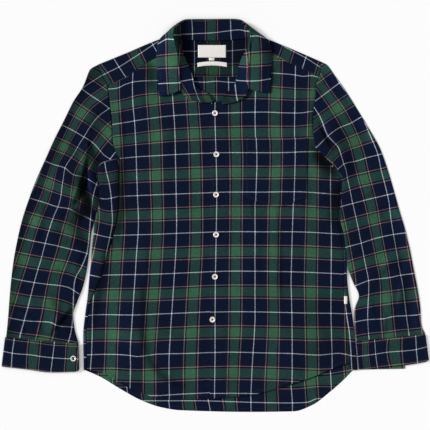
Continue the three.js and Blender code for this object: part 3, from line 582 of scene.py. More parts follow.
sleevePaintedShading = table(hollowNames, [
    (-258, 134, -262, 76, -276, 20, 1.5, 6, 4),           # beside the armpit's deep fold
    (-288, 18, -274, 2, -260, -4, 1.5, 6, 7),
    (-272, 92, -268, 64, -264, 30, 1.2, 6, 6),
    (-286, 168, -280, 100, -290, 30, 0.7, 10, 14),
    (-222, 230, -232, 206, -262, 150, 0.5, 14, 8),        # inner side of the upper sleeve
    (-238, 120, -236, 100, -236, 80, 0.8, 6, 8),
    (-262, 60, -256, 20, -262, -10, 0.9, 8, 6),
    (-250, 104, -252, 76, -248, 44, -0.5, 6, 6),
    (-256, 40, -262, 14, -280, -20, 1.2, 10, 10),
    (-264, 56, -252, 24, -240, -8, 1.3, 9, 9),
    (-292, 0, -276, -30, -260, -76, 0.8, 10, 14),
    (208, 176, 226, 146, 242, 124, 0.9, 8, 4),            # within the flap of the left sleeve
    (230, 156, 246, 124, 255, 84, 0.9, 3, 3),
    (352, -20, 370, -110, 384, -214, 0.7, 5, 5),
    (-276, 262, -240, 272, -210, 294, 0.5, 12, 12),
    (-330, -150, -306, -204, -286, -246, 0.7, 10, 8),     # beside the fold above the right cuff
])


# Painted shade as a factor on the cloth's colour: below one in hollows, above one where a row's height is
# below zero (painted highlight).
def shade(hollows, x, y):
    return np.exp(-sumFolds(hollows, x, y))


def edgeDip(distance, depth=0.9, width=1.3):
    # A seam or an edge curls down: a bell of this depth at the edge.
    return depth * np.exp(-((distance / width) ** 2))


def hemBand(distance, wide=7.0):
    # The turned-up hem is one layer thicker up to its stitching, which pulls a groove.
    return 0.45 * (1 - smooth(wide - 0.8, wide + 0.8, distance)) - 0.3 * np.exp(-((distance - wide) ** 2))


# Fronts
frontLook = {
    "cell": 3.4,              # mm
    "placketStep": 0.9,       # each front leaves the common height by this where they overlap
    "placketWidth": 32.0,     # of the turned edge under the buttons
    "hemWidth": 7.0,
}

rightFrontMap = clothMap(
    [(0, [(92.5, 313), (92.3, 330), (91.5, 355), (90.5, 368)]),
     (1, [(133, 72), (132.5, 82), (133, 105), (134.5, 121), (136, 150), (137.5, 195), (138.5, 222),
          (138, 236), (136.5, 255), (135.3, 275), (133.5, 300), (132.5, 315), (131.5, 330), (130.3, 350),
          (130.5, 365), (130, 388)]),
     (2, [(172.5, 95), (174.3, 120), (175.5, 160), (176.3, 200), (176.3, 240), (174, 280), (171.2, 321),
          (169, 361), (169.3, 395)]),
     (3, [(212, 110), (215, 150), (216, 200), (216, 250), (214, 300), (213, 350), (212, 394)])],
    [(0, [(109, 89), (118, 88), (125, 84.5), (133, 82), (158, 80.5)]),
     (-1, [(112.5, 124.5), (134, 121), (154, 117.9), (180, 115.1), (202, 114), (213, 113.3)]),
     (-2, [(121, 158.5), (135, 157), (154, 155.9), (180, 154.3), (202, 153.3), (213, 153)]),
     (-3, [(120, 196.5), (136, 195.7), (154, 194.9), (180, 193.9), (202, 193), (213, 192.6)]),
     (-4, [(114, 235.5), (154, 234.3), (180, 233.2), (202, 232.4), (213, 232)]),
     (-5, [(105, 275.2), (154, 274.1), (180, 273.1), (202, 272.1), (213, 271.6)]),
     (-6, [(84, 316), (92, 315), (132, 315), (154, 314.2), (180, 313.1), (202, 312.1)]),
     (-7, [(83.5, 355), (118, 354.5), (130, 355.5), (137, 356.5), (154, 354.4), (180, 353.6),
           (202, 352.9)]),
     (-8, [(143, 395), (154, 395.6), (180, 394.1), (202, 393.1)])])

leftFrontMap = clothMap(
    [(0, [(215, 120), (216.2, 160), (216.7, 200), (216.1, 240), (215.3, 280), (215, 320), (215, 361),
          (214.5, 394)]),
     (1, [(255.5, 91), (255, 120), (256.2, 160), (255.1, 200), (255, 240), (255, 280), (255, 321),
          (252.5, 361), (251, 393)]),
     (2, [(295.5, 65), (294.6, 120), (294.4, 160), (293.3, 200), (292, 240), (291, 280), (291.9, 321),
          (292.1, 361), (292, 380)]),
     (3, [(330.5, 168), (330.6, 200), (331.3, 240), (331.1, 280), (331.1, 321), (332.1, 361)])],
    [(0, [(270, 73), (295, 75), (304, 76.5), (311, 75.5), (319.5, 77.5)]),
     (-1, [(212, 113.3), (224, 113.1), (264, 112.1), (286, 112.9), (304, 112.7), (314, 111)]),
     (-2, [(212, 153), (224, 152.7), (264, 152.8), (286, 152.6), (304, 151.8), (325, 152)]),
     (-3, [(212, 192.5), (224, 192.1), (264, 192.1), (286, 191.8), (304, 192), (331, 194)]),
     (-4, [(212, 232), (224, 231.7), (264, 231.8), (304, 232), (331, 233.5)]),
     (-5, [(212, 271.6), (224, 271.2), (264, 271.2), (304, 272.1), (331, 273.4)]),
     (-6, [(212, 312), (224, 311.8), (264, 312), (304, 313), (335, 313.4)]),
     (-7, [(212, 352.5), (224, 352.1), (264, 352.9), (292.5, 353.5), (320, 355), (340, 353.3),
           (351, 355.5)]),
     (-8, [(212, 393.3), (250, 393.5)])])


def frontSide(seamColumn, armhole):
    # The side seam below the underarm and the armhole seam above it.
    seam, arm, start = curve(sides, "y", seamColumn), curve(armhole, "y", "x"), armhole["y"][0]
    return lambda y: np.where(y < start, seam(y), arm(y))


def frontPanel(name, left, right, bottom, top, seamEdges, lift, cloth):
    # x runs from the left to the right edge at a height, y from the hem to the neck or yoke.
    s = cells(260, frontLook["cell"])[:, None]
    t = cells(660, frontLook["cell"])[None]
    hem, upper = bottom(s), top(s)
    leftX = left(mix(bottom(np.array(0.0)), top(np.array(0.0)), t))
    rightX = right(mix(bottom(np.array(1.0)), top(np.array(1.0)), t))
    x = mix(leftX, rightX, s)
    y = mix(hem, upper, t)
    z = upperHeight(x, y) + lift(x, y) + wall / 2
    fromLeft, fromRight = s * (rightX - leftX), (1 - s) * (rightX - leftX)
    z = z + hemBand(y - hem, frontLook["hemWidth"])
    z = z - edgeDip(fromLeft, *seamEdges["left"]) - edgeDip(fromRight, *seamEdges["right"])
    z = z - edgeDip(upper - y, 0.9, 1.3) - edgeDip(y - hem, 0.5, 0.8)
    points = np.stack(np.broadcast_arrays(x, y, z), -1)
    # The cloth carries painted shade in its hollows and painted highlights on its turned edges.
    return gridObject(name, points, cloth(x + 0 * y, y + 0 * x), paintedLightAndShade=shade(bodyPaintedShading, *points.T[:2]).T)


hemCurve = curve(frontHem, "x", "y")
rightSeamTop = curve(yokeSeamRight, "x", "y")
leftSeamTop = curve(yokeSeamLeft, "x", "y")
necklineRightX = curve(necklineRight, "y", "x")
necklineLeftX = curve(necklineLeft, "y", "x")


def rightLift(x, y):
    return -frontLook["placketStep"] * smooth(-34, -14, x)


def leftLift(x, y):
    # The top front steps up over the underlap, and its turned edge is one layer thicker.
    overlap = frontLook["placketStep"] * (1 - smooth(16, 34, x))
    band = 0.35 * (1 - smooth(-10.5 + frontLook["placketWidth"] - 1, -9.5 + frontLook["placketWidth"], x))
    return overlap + band


frontRight = frontPanel(
    "front_right_cloth", frontSide("rightSeam", armholeRight), necklineRightX,
    lambda s: hemCurve(mix(-257, underlapEdge, s)), lambda s: rightSeamTop(mix(-215.8, -74, s)),
    {"left": (1.0, 1.4), "right": (0.3, 0.8)}, rightLift, rightFrontMap)
frontLeft = frontPanel(
    "front_left_cloth", necklineLeftX, frontSide("leftSeam", lapLeft),
    lambda s: hemCurve(mix(placketEdge, 269, s)), lambda s: leftSeamTop(mix(69.5, 208.5, s)),
    {"left": (0.5, 0.8), "right": (1.0, 1.4)}, leftLift, leftFrontMap)
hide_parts("front_right")
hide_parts("front_left")
print("fronts are made")


def leftFrontTop(x, y):
    # Upper side of the left front, on which the pocket and the buttons lie.
    return upperHeight(x, y) + leftLift(x, y) + wall / 2


# Back, with its side strips turned over on to the front
backLook = {"cell": 5.0, "underarm": 108.0}

rightStripMap = clothMap(
    [(0, [(104.5, 158), (106, 170), (108.5, 180), (111, 195), (112, 210), (112.5, 222), (110, 236.5),
          (107, 250), (105, 262), (102, 277)]),
     (-1, [(66, 158), (71, 190), (73, 215), (70, 240), (63, 277)])],
    [(0, [(105, 162), (112, 157), (118, 156.5)]),
     (-firstOrange, [(97, 173), (118, 170)]),
     (-secondOrange, [(101, 184), (118, 182)]),
     (-1, [(103, 199), (118, 196.5)]),
     (-1 - firstOrange, [(98, 208), (107, 211), (120, 209.5)]),
     (-1 - secondOrange, [(98, 221.5), (113, 225)]),
     (-2, [(94.5, 234), (110, 237.5)]),
     (-3, [(90.5, 275), (102, 277.5)])])
leftStripMap = clothMap(
    [(0, [(345.8, 307), (347.5, 320), (349, 330), (351, 355), (351.5, 364)]),
     (-1, [(306, 307), (308, 330), (311, 364)])],
    [(0, [(340, 233.5), (352, 233.5)]), (-1, [(340, 273.4), (352, 273.4)]),
     (-2, [(340, 313.4), (352, 313.4)]), (-3, [(340, 353.3), (351, 355.5)])])
backMap = clothMap(
    [(0, [(168.5, 399), (169.5, 409)]),
     (1, [(208, 399), (210, 409), (188.3, 80), (187, 110)]),
     (2, [(251, 399), (251, 409), (228.5, 80), (228.5, 105)]),
     (3, [(291, 385), (292.5, 403), (292.5, 411)]),
     (4, [(330.5, 370), (331.5, 388)]),
     (1 + firstOrange, [(204, 80), (204, 100)]), (1 + secondOrange, [(216.5, 80), (216.5, 100)])],
    [(0, [(178, 401), (200, 401), (250, 402.5), (300, 403), (310, 402), (316, 399)]),
     (lowOrange, [(276, 389), (331, 387)]), (highOrange, [(315, 375), (343.5, 371.5)]),
     (8, [(196, 81.6), (205, 82), (216, 81), (228, 82)]),
     (8 - firstOrange, [(204, 94), (216, 94), (228, 94)])])


def buildBack():
    # Each level is a section: right strip, right turn, flat part, left turn, left strip.
    hem = curve(backHem, "x", "y")
    rightSide, leftSide = curve(sides, "y", "rightSide"), curve(sides, "y", "leftSide")
    rightSeam, leftSeam = curve(sides, "y", "rightSeam"), curve(sides, "y", "leftSeam")
    rightArm, leftArm = curve(armholeRight, "y", "x"), curve(armholeLeft, "y", "x")
    levels = cells(587, backLook["cell"]) * 587 - 310
    tail = cells(84, 4.0)[::-1][:-1]
    y = np.concatenate([np.full(len(tail), -310.0), levels])
    depth = np.concatenate([tail, np.zeros(len(levels))])
    outerRight = np.where(y <= backLook["underarm"], rightSide(y), rightArm(y) - 4)
    outerLeft = np.where(y <= backLook["underarm"], leftSide(y), leftArm(y) + 4)
    high = upperMiddle + wall / 2
    seamRight = np.maximum(rightSeam(y), outerRight + turnReach + 2)
    seamLeft = np.minimum(leftSeam(y), outerLeft - turnReach - 2)
    strip = np.linspace(0, 1, 13)[:, None]
    turn = np.linspace(0, math.pi, 9)[1:-1, None]
    flat = np.linspace(0, 1, 121)[:, None]
    radius = high / 2
    rightStripX = mix(seamRight, outerRight + turnReach, strip)
    leftStripX = mix(outerLeft - turnReach, seamLeft, strip)
    x = np.concatenate([
        rightStripX, outerRight + turnReach - turnReach * np.sin(turn),
        mix(outerRight + turnReach, outerLeft - turnReach, flat),
        outerLeft - turnReach + turnReach * np.sin(turn), leftStripX])
    stripHeight = lambda px: high + ripple(px, y + 0 * px) - edgeDip(
        np.minimum(np.abs(px - seamRight), np.abs(px - seamLeft)), 1.0, 1.4)
    z = np.concatenate([
        stripHeight(rightStripX), radius + radius * np.cos(turn) + 0 * y,
        0 * flat + 0 * y, radius - radius * np.cos(turn) + 0 * y, stripHeight(leftStripX)])
    yy = y + depth * (hem(x) - y)
    # Only the upper side of the flat part shows; the sheet is thickened towards it.
    uv = np.where((x < -150)[..., None] & (z > 1)[..., None], rightStripMap(x, yy), backMap(x, yy))
    uv = np.where((x > 200)[..., None] & (z > 1)[..., None], leftStripMap(x, yy), uv)
    points = np.stack([x, yy, z], -1)
    columns = np.arange(len(x) - 1)[:, None]
    firstFlat = len(strip) + len(turn)
    inStrip = (columns < firstFlat) | (columns >= firstFlat + len(flat) - 1)
    rows = np.arange(len(y) - 1)[None]
    lowRow = rows < len(tail)
    highRow = y[:-1][None] >= backLook["underarm"]
    keep = ~(inStrip & (lowRow | highRow))
    # The cloth carries painted shade in its hollows and painted highlights on its turned edges.
    return gridObject("back_cloth", points, uv, keep=keep, paintedLightAndShade=shade(bodyPaintedShading, x, yy))


back = buildBack()
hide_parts("back")
print("back is made")


# Yoke: rear layer, fold along each shoulder, and a strip down to each front seam
# The rear layer inside the neck carries painted shade: its colour is halved.
yokeLook = {"cell": 3.6, "inside": 0.5}      # the neck is dim inside

yokeRearMap = clothMap(
    [(0, [(194.5, 50), (194.5, 75)]), (1, [(232.5, 50), (232.5, 75)]),
     (firstOrange, [(207, 45), (207, 75)]), (secondOrange, [(219.5, 45), (219.5, 75)]),
     (-1, [(156, 50), (156, 75)]), (2, [(271, 50), (271, 75)])],
    [(0, [(180, 51), (195, 51), (232, 50.5), (243, 49.5)]), (-firstOrange, [(190, 64), (240, 63)]),
     (-secondOrange, [(195, 76), (232, 76)])])
yokeRightMap = clothMap(
    [(0, [(113.5, 58), (119, 67), (126, 77.5)]), (1, [(152.5, 44), (158, 54)]),
     (firstOrange, [(127.5, 53.5), (136, 70)]), (secondOrange, [(139.5, 49), (146, 62.5)]),
     (secondOrange - 1, [(101, 63.5), (109, 75), (113, 82)])],
    [(0, [(101, 76), (119, 67), (130, 60), (141, 53), (153.5, 44.5)]),
     (-0.31, [(109, 84), (124, 77), (137, 70), (146, 63.5), (158, 57)])])
yokeLeftMap = clothMap(
    [(0, [(306, 57), (302.5, 68)]), (firstOrange - 1, [(282, 47), (278.5, 56)]),
     (secondOrange - 1, [(293.5, 53), (290.5, 63)]), (firstOrange, [(318, 63), (314.5, 74)])],
    [(0, [(287, 48), (306, 58), (321.5, 68)]), (-0.31, [(281, 57), (299, 68), (317, 77)])])


def buildYoke():
    shoulder = curve(shoulderLine, "x", "y")
    armRight, armLeft = curve(armholeRight, "y", "x"), curve(armholeLeft, "y", "x")
    ends = (-234.5, 211.0)
    neck = (-74.0, 69.5)
    x = np.concatenate([mix(ends[0], neck[0], cells(160, yokeLook["cell"])),
                        mix(neck[0], neck[1], np.linspace(0, 1, 41)[1:-1]),
                        mix(neck[1], ends[1], cells(141, yokeLook["cell"]))])[:, None]
    isRight, isLeft = x <= neck[0] + 0.01, x >= neck[1] - 0.01
    share = (x - ends[0]) / (ends[1] - ends[0])
    top = shoulder(x)
    rearTop = np.where(isRight | isLeft, top - turnReach, top)
    t = cells(75, yokeLook["cell"])[None]
    rearY = mix(backSeam, rearTop, t)
    rearX = mix(armRight(rearY), armLeft(rearY), share)
    turn = np.linspace(0, math.pi, 9)[None, 1:-1]
    high = upperMiddle + wall / 2
    turnY = top - turnReach + turnReach * np.sin(turn)
    turnZ = high / 2 - high / 2 * np.cos(turn)
    partRight = np.clip((x - ends[0]) / (neck[0] - ends[0]), 0, 1)
    partLeft = np.clip((x - neck[1]) / (ends[1] - neck[1]), 0, 1)
    seamX = np.where(x < 0, mix(-215.8, neck[0], partRight), mix(neck[1], 208.5, partLeft))
    seamY = np.where(x < 0, rightSeamTop(seamX), leftSeamTop(seamX))
    f = cells(40, yokeLook["cell"])[None]
    frontY = mix(top - turnReach, seamY, f)
    frontX = mix(x, seamX, f)
    frontX = np.where(share < 1e-6, armRight(frontY), frontX)
    frontX = np.where(share > 1 - 1e-6, armLeft(frontY), frontX)
    frontZ = mix(high, upperHeight(frontX, frontY) + wall / 2, smooth(0, 0.25, f))
    frontZ = frontZ - edgeDip(frontY - seamY) - edgeDip(np.abs(x - ends[0])) - edgeDip(np.abs(x - ends[1]))
    px = np.concatenate([rearX, x + 0 * turn, frontX], 1)
    py = np.concatenate([rearY, turnY, frontY], 1)
    pz = np.concatenate([0 * rearX, turnZ + 0 * x, frontZ], 1)
    onRight = (pz > 1.4) & (px < 0)
    onLeft = (pz > 1.4) & (px > 0)
    uv = np.where(onRight[..., None], yokeRightMap(px, py), yokeRearMap(px, py))
    uv = np.where(onLeft[..., None], yokeLeftMap(px, py), uv)
    columns = np.arange(len(x) - 1)
    inNeck = (x[:-1, 0] >= neck[0] - 0.01) & (x[1:, 0] <= neck[1] + 0.01)
    rows = np.arange(px.shape[1] - 1)
    keep = ~(inNeck[columns][:, None] & (rows[None] >= t.size - 1))
    # Normals face outward: down on the rear layer and up on the front strips.
    # The rear layer inside the neck is darkened with painted shade.
    return gridObject("yoke_cloth", np.stack([px, py, pz], -1), uv, keep=keep, flip=True,
                      paintedLightAndShade=np.where(onRight | onLeft, 1.0, yokeLook["inside"]))


yoke = buildYoke()
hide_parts("yoke")
print("yoke is made")


# Sleeves
# The rims are a painted highlight along the left sleeve's outer edge and painted shade along the right
# sleeve's.
sleeveLook = {"cell": 2.4, "armholeReach": 0.14, "leftRimPaintedHighlight": 0.9, "rightRimPaintedShade": -0.6}
sleeveNames = "outerX outerY innerX innerY overhang edgeLift"
sleeveRightRows = table(sleeveNames, [
    (-234.5, 301, -190.5, 114, 0, 0),
    (-250.5, 292, -212.5, 110, 0, 0),
    (-266.5, 254, -232.5, 101, 0, 0),
    (-283.5, 228, -237.5, 76, 0, 0),
    (-302.5, 190, -231.2, 50, 0, 0),
    (-322.5, 150, -235.2, 18, 0, 0),
    (-340.5, 110, -241.5, -12, 0, 0),
    (-358.5, 70, -247.5, -34, 0, 0),
    (-373.5, 30, -250.5, -60, 0, 0),
    (-386.5, -10, -253.5, -84, 0, 0),
    (-396, -50, -257.5, -112, 0, 0),
    (-403.5, -90, -265.5, -146, 0, 0),
    (-408.5, -130, -276.5, -174, 0, 0),
    (-412, -170, -284.5, -200, 0, 0),
    (-415, -210, -281.5, -228, 0, 0),
    (-418.5, -244.6, -273.5, -257, 0, 0),
])
sleeveLeftRows = table(sleeveNames, [
    (211, 307, 200.3, 134, 6, 4),
    (221.5, 302, 205.5, 128.6, 6, 4.5),
    (241.5, 276, 217.5, 116, 6, 5),
    (261.5, 248, 229.5, 104, 6, 5),
    (285.5, 210, 242.5, 90.4, 6, 5),
    (309.5, 170, 253.5, 78, 6, 5),
    (329.5, 134, 252, 50, 6, 5),
    (345.5, 90, 249, 16, 6, 5),
    (357.5, 50, 248.5, -10, 6, 5),
    (368.5, 10, 254.5, -36, 6, 5),
    (380.5, -30, 259.5, -70, 5, 4.5),
    (390, -70, 264.5, -104, 2, 2.5),
    (397.5, -110, 275.5, -134, 0, 0),
    (405.5, -150, 287.5, -162, 0, 0),
    (410.5, -186, 278.5, -192, 0, 0),
    (412.5, -218, 279, -224, 0, 0),
    (420.5, -239, 282.3, -252, 0, 0),
])

rightSleeveMap = clothMap(
    [(0, [(110, 108), (99, 116), (84, 137), (72, 157), (65, 168), (64, 176), (62.5, 184), (61.5, 194),
          (58.5, 206), (54, 216), (50, 228), (45.5, 243), (41, 260), (34.5, 282), (30, 300), (24.5, 320),
          (19, 340)]),
     (1, [(93, 199), (90, 225), (87, 253), (80, 270), (76, 277), (73.5, 300), (71.5, 330)]),
     (-1, [(101, 76), (82, 89), (60, 124), (45, 161), (29.5, 198)])],
    [(0, [(82, 89), (90, 95), (100, 101.5), (107.5, 107)]),
     (-1, [(60, 124), (72, 130), (84, 137), (92, 142), (98, 148), (104, 155)]),
     (-2, [(45, 161), (55, 165), (65, 168), (74, 175), (84, 177)]),
     (-3, [(29.5, 198), (46, 203), (58, 207), (70, 209), (77, 213), (90, 219), (95, 222)]),
     (-4, [(18, 237.5), (46, 243.5), (58, 246), (70, 249), (87, 253.5)]),
     (-5, [(11, 278), (34.5, 282.5), (50, 284.5), (60, 285.5), (70, 288), (80, 294.5)]),
     (-6, [(8, 317.5), (25, 320.5), (40, 321.5), (52, 322.5), (59.5, 326), (72, 327)])])
leftSleeveMap = clothMap(
    [(0, [(320, 117), (328, 136), (338, 148), (343, 164), (347, 178), (352.5, 203.5), (358, 228),
          (361, 243), (366, 268), (368.5, 281), (368, 300), (367.5, 319.5), (369, 339)]),
     (secondOrange - 1, [(316, 148.5), (326, 158.5), (337, 169)]),
     (1, [(339.5, 83), (352, 100), (362, 116.5), (369, 133), (378, 155), (381, 170), (385, 185),
          (388.5, 200), (391, 220), (393.5, 235), (398, 262), (403, 290), (406.5, 318), (409, 335)])],
    [(0, [(339.5, 83), (330, 90), (319.5, 98)]),
     (-1, [(362, 116.5), (350, 123.5), (339, 128), (328, 136), (315.5, 148)]),
     (-1 - firstOrange, [(325.6, 157.5), (333.8, 146)]),
     (-2, [(378, 155), (366, 158), (355, 161.5), (343, 164.5)]),
     (-3, [(393, 193.5), (376, 197.5), (352.5, 203.5), (340, 207)]),
     (-4, [(404.5, 233), (393, 234.5), (375, 238.5), (361, 243), (346.5, 247)]),
     (-5, [(413.5, 273.5), (401, 275), (390, 277.5), (368.5, 280.5), (354.5, 286)]),
     (-6, [(420, 314.5), (408, 315.5), (392, 316.5), (384, 318.5), (367.5, 319.5), (355, 322)])])


def buildSleeve(name, rows, armhole, cloth, mirrored):
    # Each section runs over the top from the outer to the inner edge, round it and back underneath.
    at = {column: alongRows(rows, column) for column in rows}
    arm = curve(armhole, "y", "x")
    t = cells(520, sleeveLook["cell"])[None]
    outer = np.stack([at["outerX"](t), at["outerY"](t)], -1)
    inner = np.stack([at["innerX"](t), at["innerY"](t)], -1)
    width = np.linalg.norm(inner - outer, axis=-1)
    toInner = (inner - outer) / width[..., None]
    blend = 1 - smooth(0, sleeveLook["armholeReach"], t)
    startX, startY = rows["outerX"][0], rows["outerY"][0]
    slant = (rows["innerX"][0] - startX) / (rows["innerY"][0] - startY)
    lift, overhang = at["edgeLift"](t), at["overhang"](t)

    def plan(distance):
        p = outer + toInner * distance[..., None]
        bent = arm(p[..., 1]) - (startX + slant * (p[..., 1] - startY))
        x = p[..., 0] + blend * np.where(p[..., 1] >= rows["innerY"][0], bent, 0)
        return x, p[..., 1]

    s = cells(150, sleeveLook["cell"], (1.0, 2.5))[:, None]
    topX, topY = plan(mix(turnReach, width - turnReach, s))
    outward = 150 * s
    topZ = upperHeight(topX, topY) + wall / 2 + smooth(0.55, 1, s) * lift
    topZ = topZ + 1.6 * np.sin(math.pi * s) ** 0.6 - edgeDip(outward, 1.0, 2.5)
    seamDip = edgeDip(t * 520, 1.1, 1.5) + edgeDip((1 - t) * 520, 0.8, 1.5)
    topZ = topZ - seamDip
    turn = np.linspace(0, math.pi, 8)[1:-1, None]
    reachOut = turnReach * np.sin(turn)
    innerTop = topZ[-1:]
    innerX, innerY = plan(width - turnReach + reachOut - 0.5 * (1 - np.cos(turn)) * overhang)
    innerLow = np.where(overhang > 1, 4.6, 0)
    innerZ = innerLow + (innerTop - innerLow) * (0.5 + 0.5 * np.cos(turn))
    lowX, lowY = plan(mix(width - turnReach - overhang * 1.5, turnReach + 0 * width, s))
    lowZ = 0 * lowX
    outerX, outerY = plan(turnReach - reachOut + 0 * width)
    outerZ = topZ[:1] * (0.5 - 0.5 * np.cos(turn))
    x = np.concatenate([topX, innerX, lowX, outerX])
    y = np.concatenate([topY, innerY, lowY, outerY])
    z = np.concatenate([topZ, innerZ, lowZ, outerZ])
    uv = cloth(x, y)
    edge = uv[:1, :, 0]
    under = slice(len(topX) + len(innerX), None)
    uv[under, :, 0] = 2 * edge - uv[under, :, 0]
    points = np.stack([x, y, z], -1)
    fromOuter = np.hypot(x - outer[..., 0], y - outer[..., 1])
    # Painted highlight along the left sleeve's outer edge, painted shade along the right sleeve's, and
    # painted shade in the sleeve's hollows.
    rim = 1 + sleeveLook["leftRimPaintedHighlight" if mirrored else "rightRimPaintedShade"] * np.exp(-((fromOuter / 15) ** 2))
    paintedLightAndShade = rim * shade(sleevePaintedShading, x, y)
    return gridObject(name, points, uv, around=True, flip=not mirrored, paintedLightAndShade=paintedLightAndShade)


sleeveRight = buildSleeve("sleeve_right_cloth", sleeveRightRows, armholeRight, rightSleeveMap, False)
sleeveLeft = buildSleeve("sleeve_left_cloth", sleeveLeftRows, armholeLeft, leftSleeveMap, True)
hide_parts("sleeve_right")
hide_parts("sleeve_left")
print("sleeves are made")


# Cuffs
cuffLook = {"cell": 2.5, "wall": 2.0, "bandDip": 0.4, "stitchInset": 5.0}
cuffRightRows = table("part upperX upperY lowerX lowerY", [
    (0, -425.5, -302.8, -425.5, -302.8),
    (0.31, -378.5, -308, -378.5, -307),
    (0.64, -328.5, -314, -328.5, -311),
    (1, -272, -312.5, -272, -310),
])
cuffLeftRows = table("part upperX upperY lowerX lowerY", [
    (0, 287.5, -309, 287.5, -309.4),
    (0.3, 325.5, -305, 325.5, -308.5),
    (0.66, 378, -300.6, 378, -307.4),
    (1, 427.5, -292.6, 427.5, -303),
])
rightCuffMap = clothMap(
    [(0, [(14.5, 339), (12.5, 353), (11.5, 368)]), (firstOrange, [(28.5, 341), (26.5, 369)]),
     (secondOrange, [(41, 342), (38.5, 369)]), (1, [(54.5, 344), (51, 372)]),
     (1 + firstOrange, [(66.5, 344), (64.5, 371)])],
    [(0, [(3.5, 351), (12.5, 353), (30, 354.5), (52.5, 357.5), (70, 358.5)]),
     (lowOrange, [(4, 338.5), (30, 342), (52, 344.8), (72, 346)]),
     (-firstOrange, [(3, 365.5), (30, 369), (52, 371.5), (72, 371.5)])])
leftCuffMap = clothMap(
    [(firstOrange - 1, [(362.5, 341), (364, 368)]), (0, [(374.5, 339), (375.5, 354), (377.5, 368)]),
     (firstOrange, [(388, 338), (390, 367)]), (secondOrange, [(402, 336), (403.5, 366)]),
     (1, [(415.5, 335), (417.5, 364)])],
    [(0, [(425.5, 347), (416, 349.5), (402, 351), (388, 352), (375.5, 354), (356, 356.5)]),
     (lowOrange, [(424, 334.5), (402, 338), (375.5, 341), (356, 343.5)])])


def buildCuff(name, rows, sleeveRows, reach, cloth):
    # A band folded at one edge: over the top from the free end to the fold, and back underneath.
    right = rows["upperX"][0] < 0
    tip = {column: sleeveRows[column][-1] for column in sleeveRows}
    start = (tip["outerX"], tip["outerY"]) if right else (tip["innerX"], tip["innerY"])
    end = (tip["innerX"], tip["innerY"]) if right else (tip["outerX"], tip["outerY"])
    length = math.hypot(end[0] - start[0], end[1] - start[1])
    inset = turnReach / length
    upper = [curve(rows, "part", column) for column in ("upperX", "upperY")]
    lower = [curve(rows, "part", column) for column in ("lowerX", "lowerY")]
    over = mix(inset, 1, cells(length, cuffLook["cell"]))[::-1]
    turn = np.linspace(0, math.pi, 8)[1:-1]
    back = mix(inset, reach, cells(length * reach, cuffLook["cell"]))
    part = np.concatenate([over, inset - inset * np.sin(turn), back])[:, None]
    high = 2 * cuffLook["wall"] + 1
    z = np.concatenate([0 * over + high, high / 2 + high / 2 * np.cos(turn), 0 * back])[:, None]
    below = smooth(1.0, high - 1, z)
    t = cells(58, cuffLook["cell"])[None]
    rounding = np.where(part > 1 - 8 / length, 1, 0)
    corner = rounding * 3.2 * ((part - 1 + 8 / length) * length / 8) ** 2 * smooth(0.8, 1, t)
    lowX = mix(lower[0](part), upper[0](part), below)
    lowY = mix(lower[1](part), upper[1](part), below)
    x = mix(mix(start[0], end[0], part), lowX, t)
    y = mix(mix(start[1], end[1], part) - 0.3, lowY, t) + corner
    fromEdge = np.minimum(np.minimum((1 - t) * 58, t * 58), (1 - part) * length)
    onTop = smooth(high - 0.5, high, z)
    zz = z + onTop * (0.3 * ripple(x, y) - edgeDip(fromEdge, 0.8, 1.2))
    zz = zz - onTop * cuffLook["bandDip"] * np.exp(-((fromEdge - cuffLook["stitchInset"]) ** 2))
    uv = cloth(x, y)
    points = np.stack([x, y, zz], -1)
    return gridObject(name, points, uv, thickness=cuffLook["wall"], flip=right)


cuffRight = buildCuff("cuff_right_cloth", cuffRightRows, sleeveRightRows, 0.6, rightCuffMap)
cuffLeft = buildCuff("cuff_left_cloth", cuffLeftRows, sleeveLeftRows, 0.67, leftCuffMap)
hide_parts("cuff_right")
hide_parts("cuff_left")
print("cuffs are made")


# Collar
collarLook = {
    "cell": 2.2,              # mm
    "crumple": 1.3,
    "cornerShade": 0.9,
    "fallPaintedHighlight": 1.35,         # painted highlight: the leaves are made lighter
}
standRows = table("baseX baseY baseZ topX topY topZ", [
    (-7, 231, 5.6, -8, 225, 5.7),
    (-16, 243, 5.6, -27, 224.5, 6),
    (-30, 250, 5.6, -47, 230, 6.6),
    (-40, 257, 5.6, -62, 238.5, 7.6),
    (-43, 264, 5.6, -67.7, 250, 8.8),
    (-47.5, 284, 5.6, -71.4, 289.5, 14.2),
    (-58, 307, 5.4, -74.9, 317, 18.6),
    (-68, 330, 5.2, -79.9, 340, 22.6),
    (-71, 346, 4.8, -83.5, 356.5, 24),
    (-68, 351.5, 3.6, -80.5, 370.2, 22),
    (-60, 352, 2.6, -69, 379.8, 17),
    (-45, 352, 2.2, -54, 386.6, 12.8),
    (-8.5, 351, 2.2, -8.5, 387.4, 10.6),
    (28, 352, 2.2, 30.5, 387.7, 10.8),
    (50, 354, 2.2, 46.5, 386.1, 12.8),
    (60, 355.5, 2.6, 59, 376.8, 17),
    (66, 353, 3.6, 68, 364.2, 22),
    (66.5, 343, 4.8, 70, 349.7, 24),
    (62.5, 330, 5.2, 69, 335, 22.6),
    (54.5, 316, 5.4, 66.5, 314, 18.6),
    (46, 292, 5.6, 65.4, 288, 14.2),
    (40.5, 264, 5.6, 65.1, 252, 8.8),
    (38, 257, 5.6, 61, 238.5, 7.6),
    (30, 250, 5.6, 49.5, 230, 6.6),
    (19.5, 243, 5.6, 33, 224, 6),
    (11.5, 229.5, 5.6, 13.5, 220.5, 5.7),
])
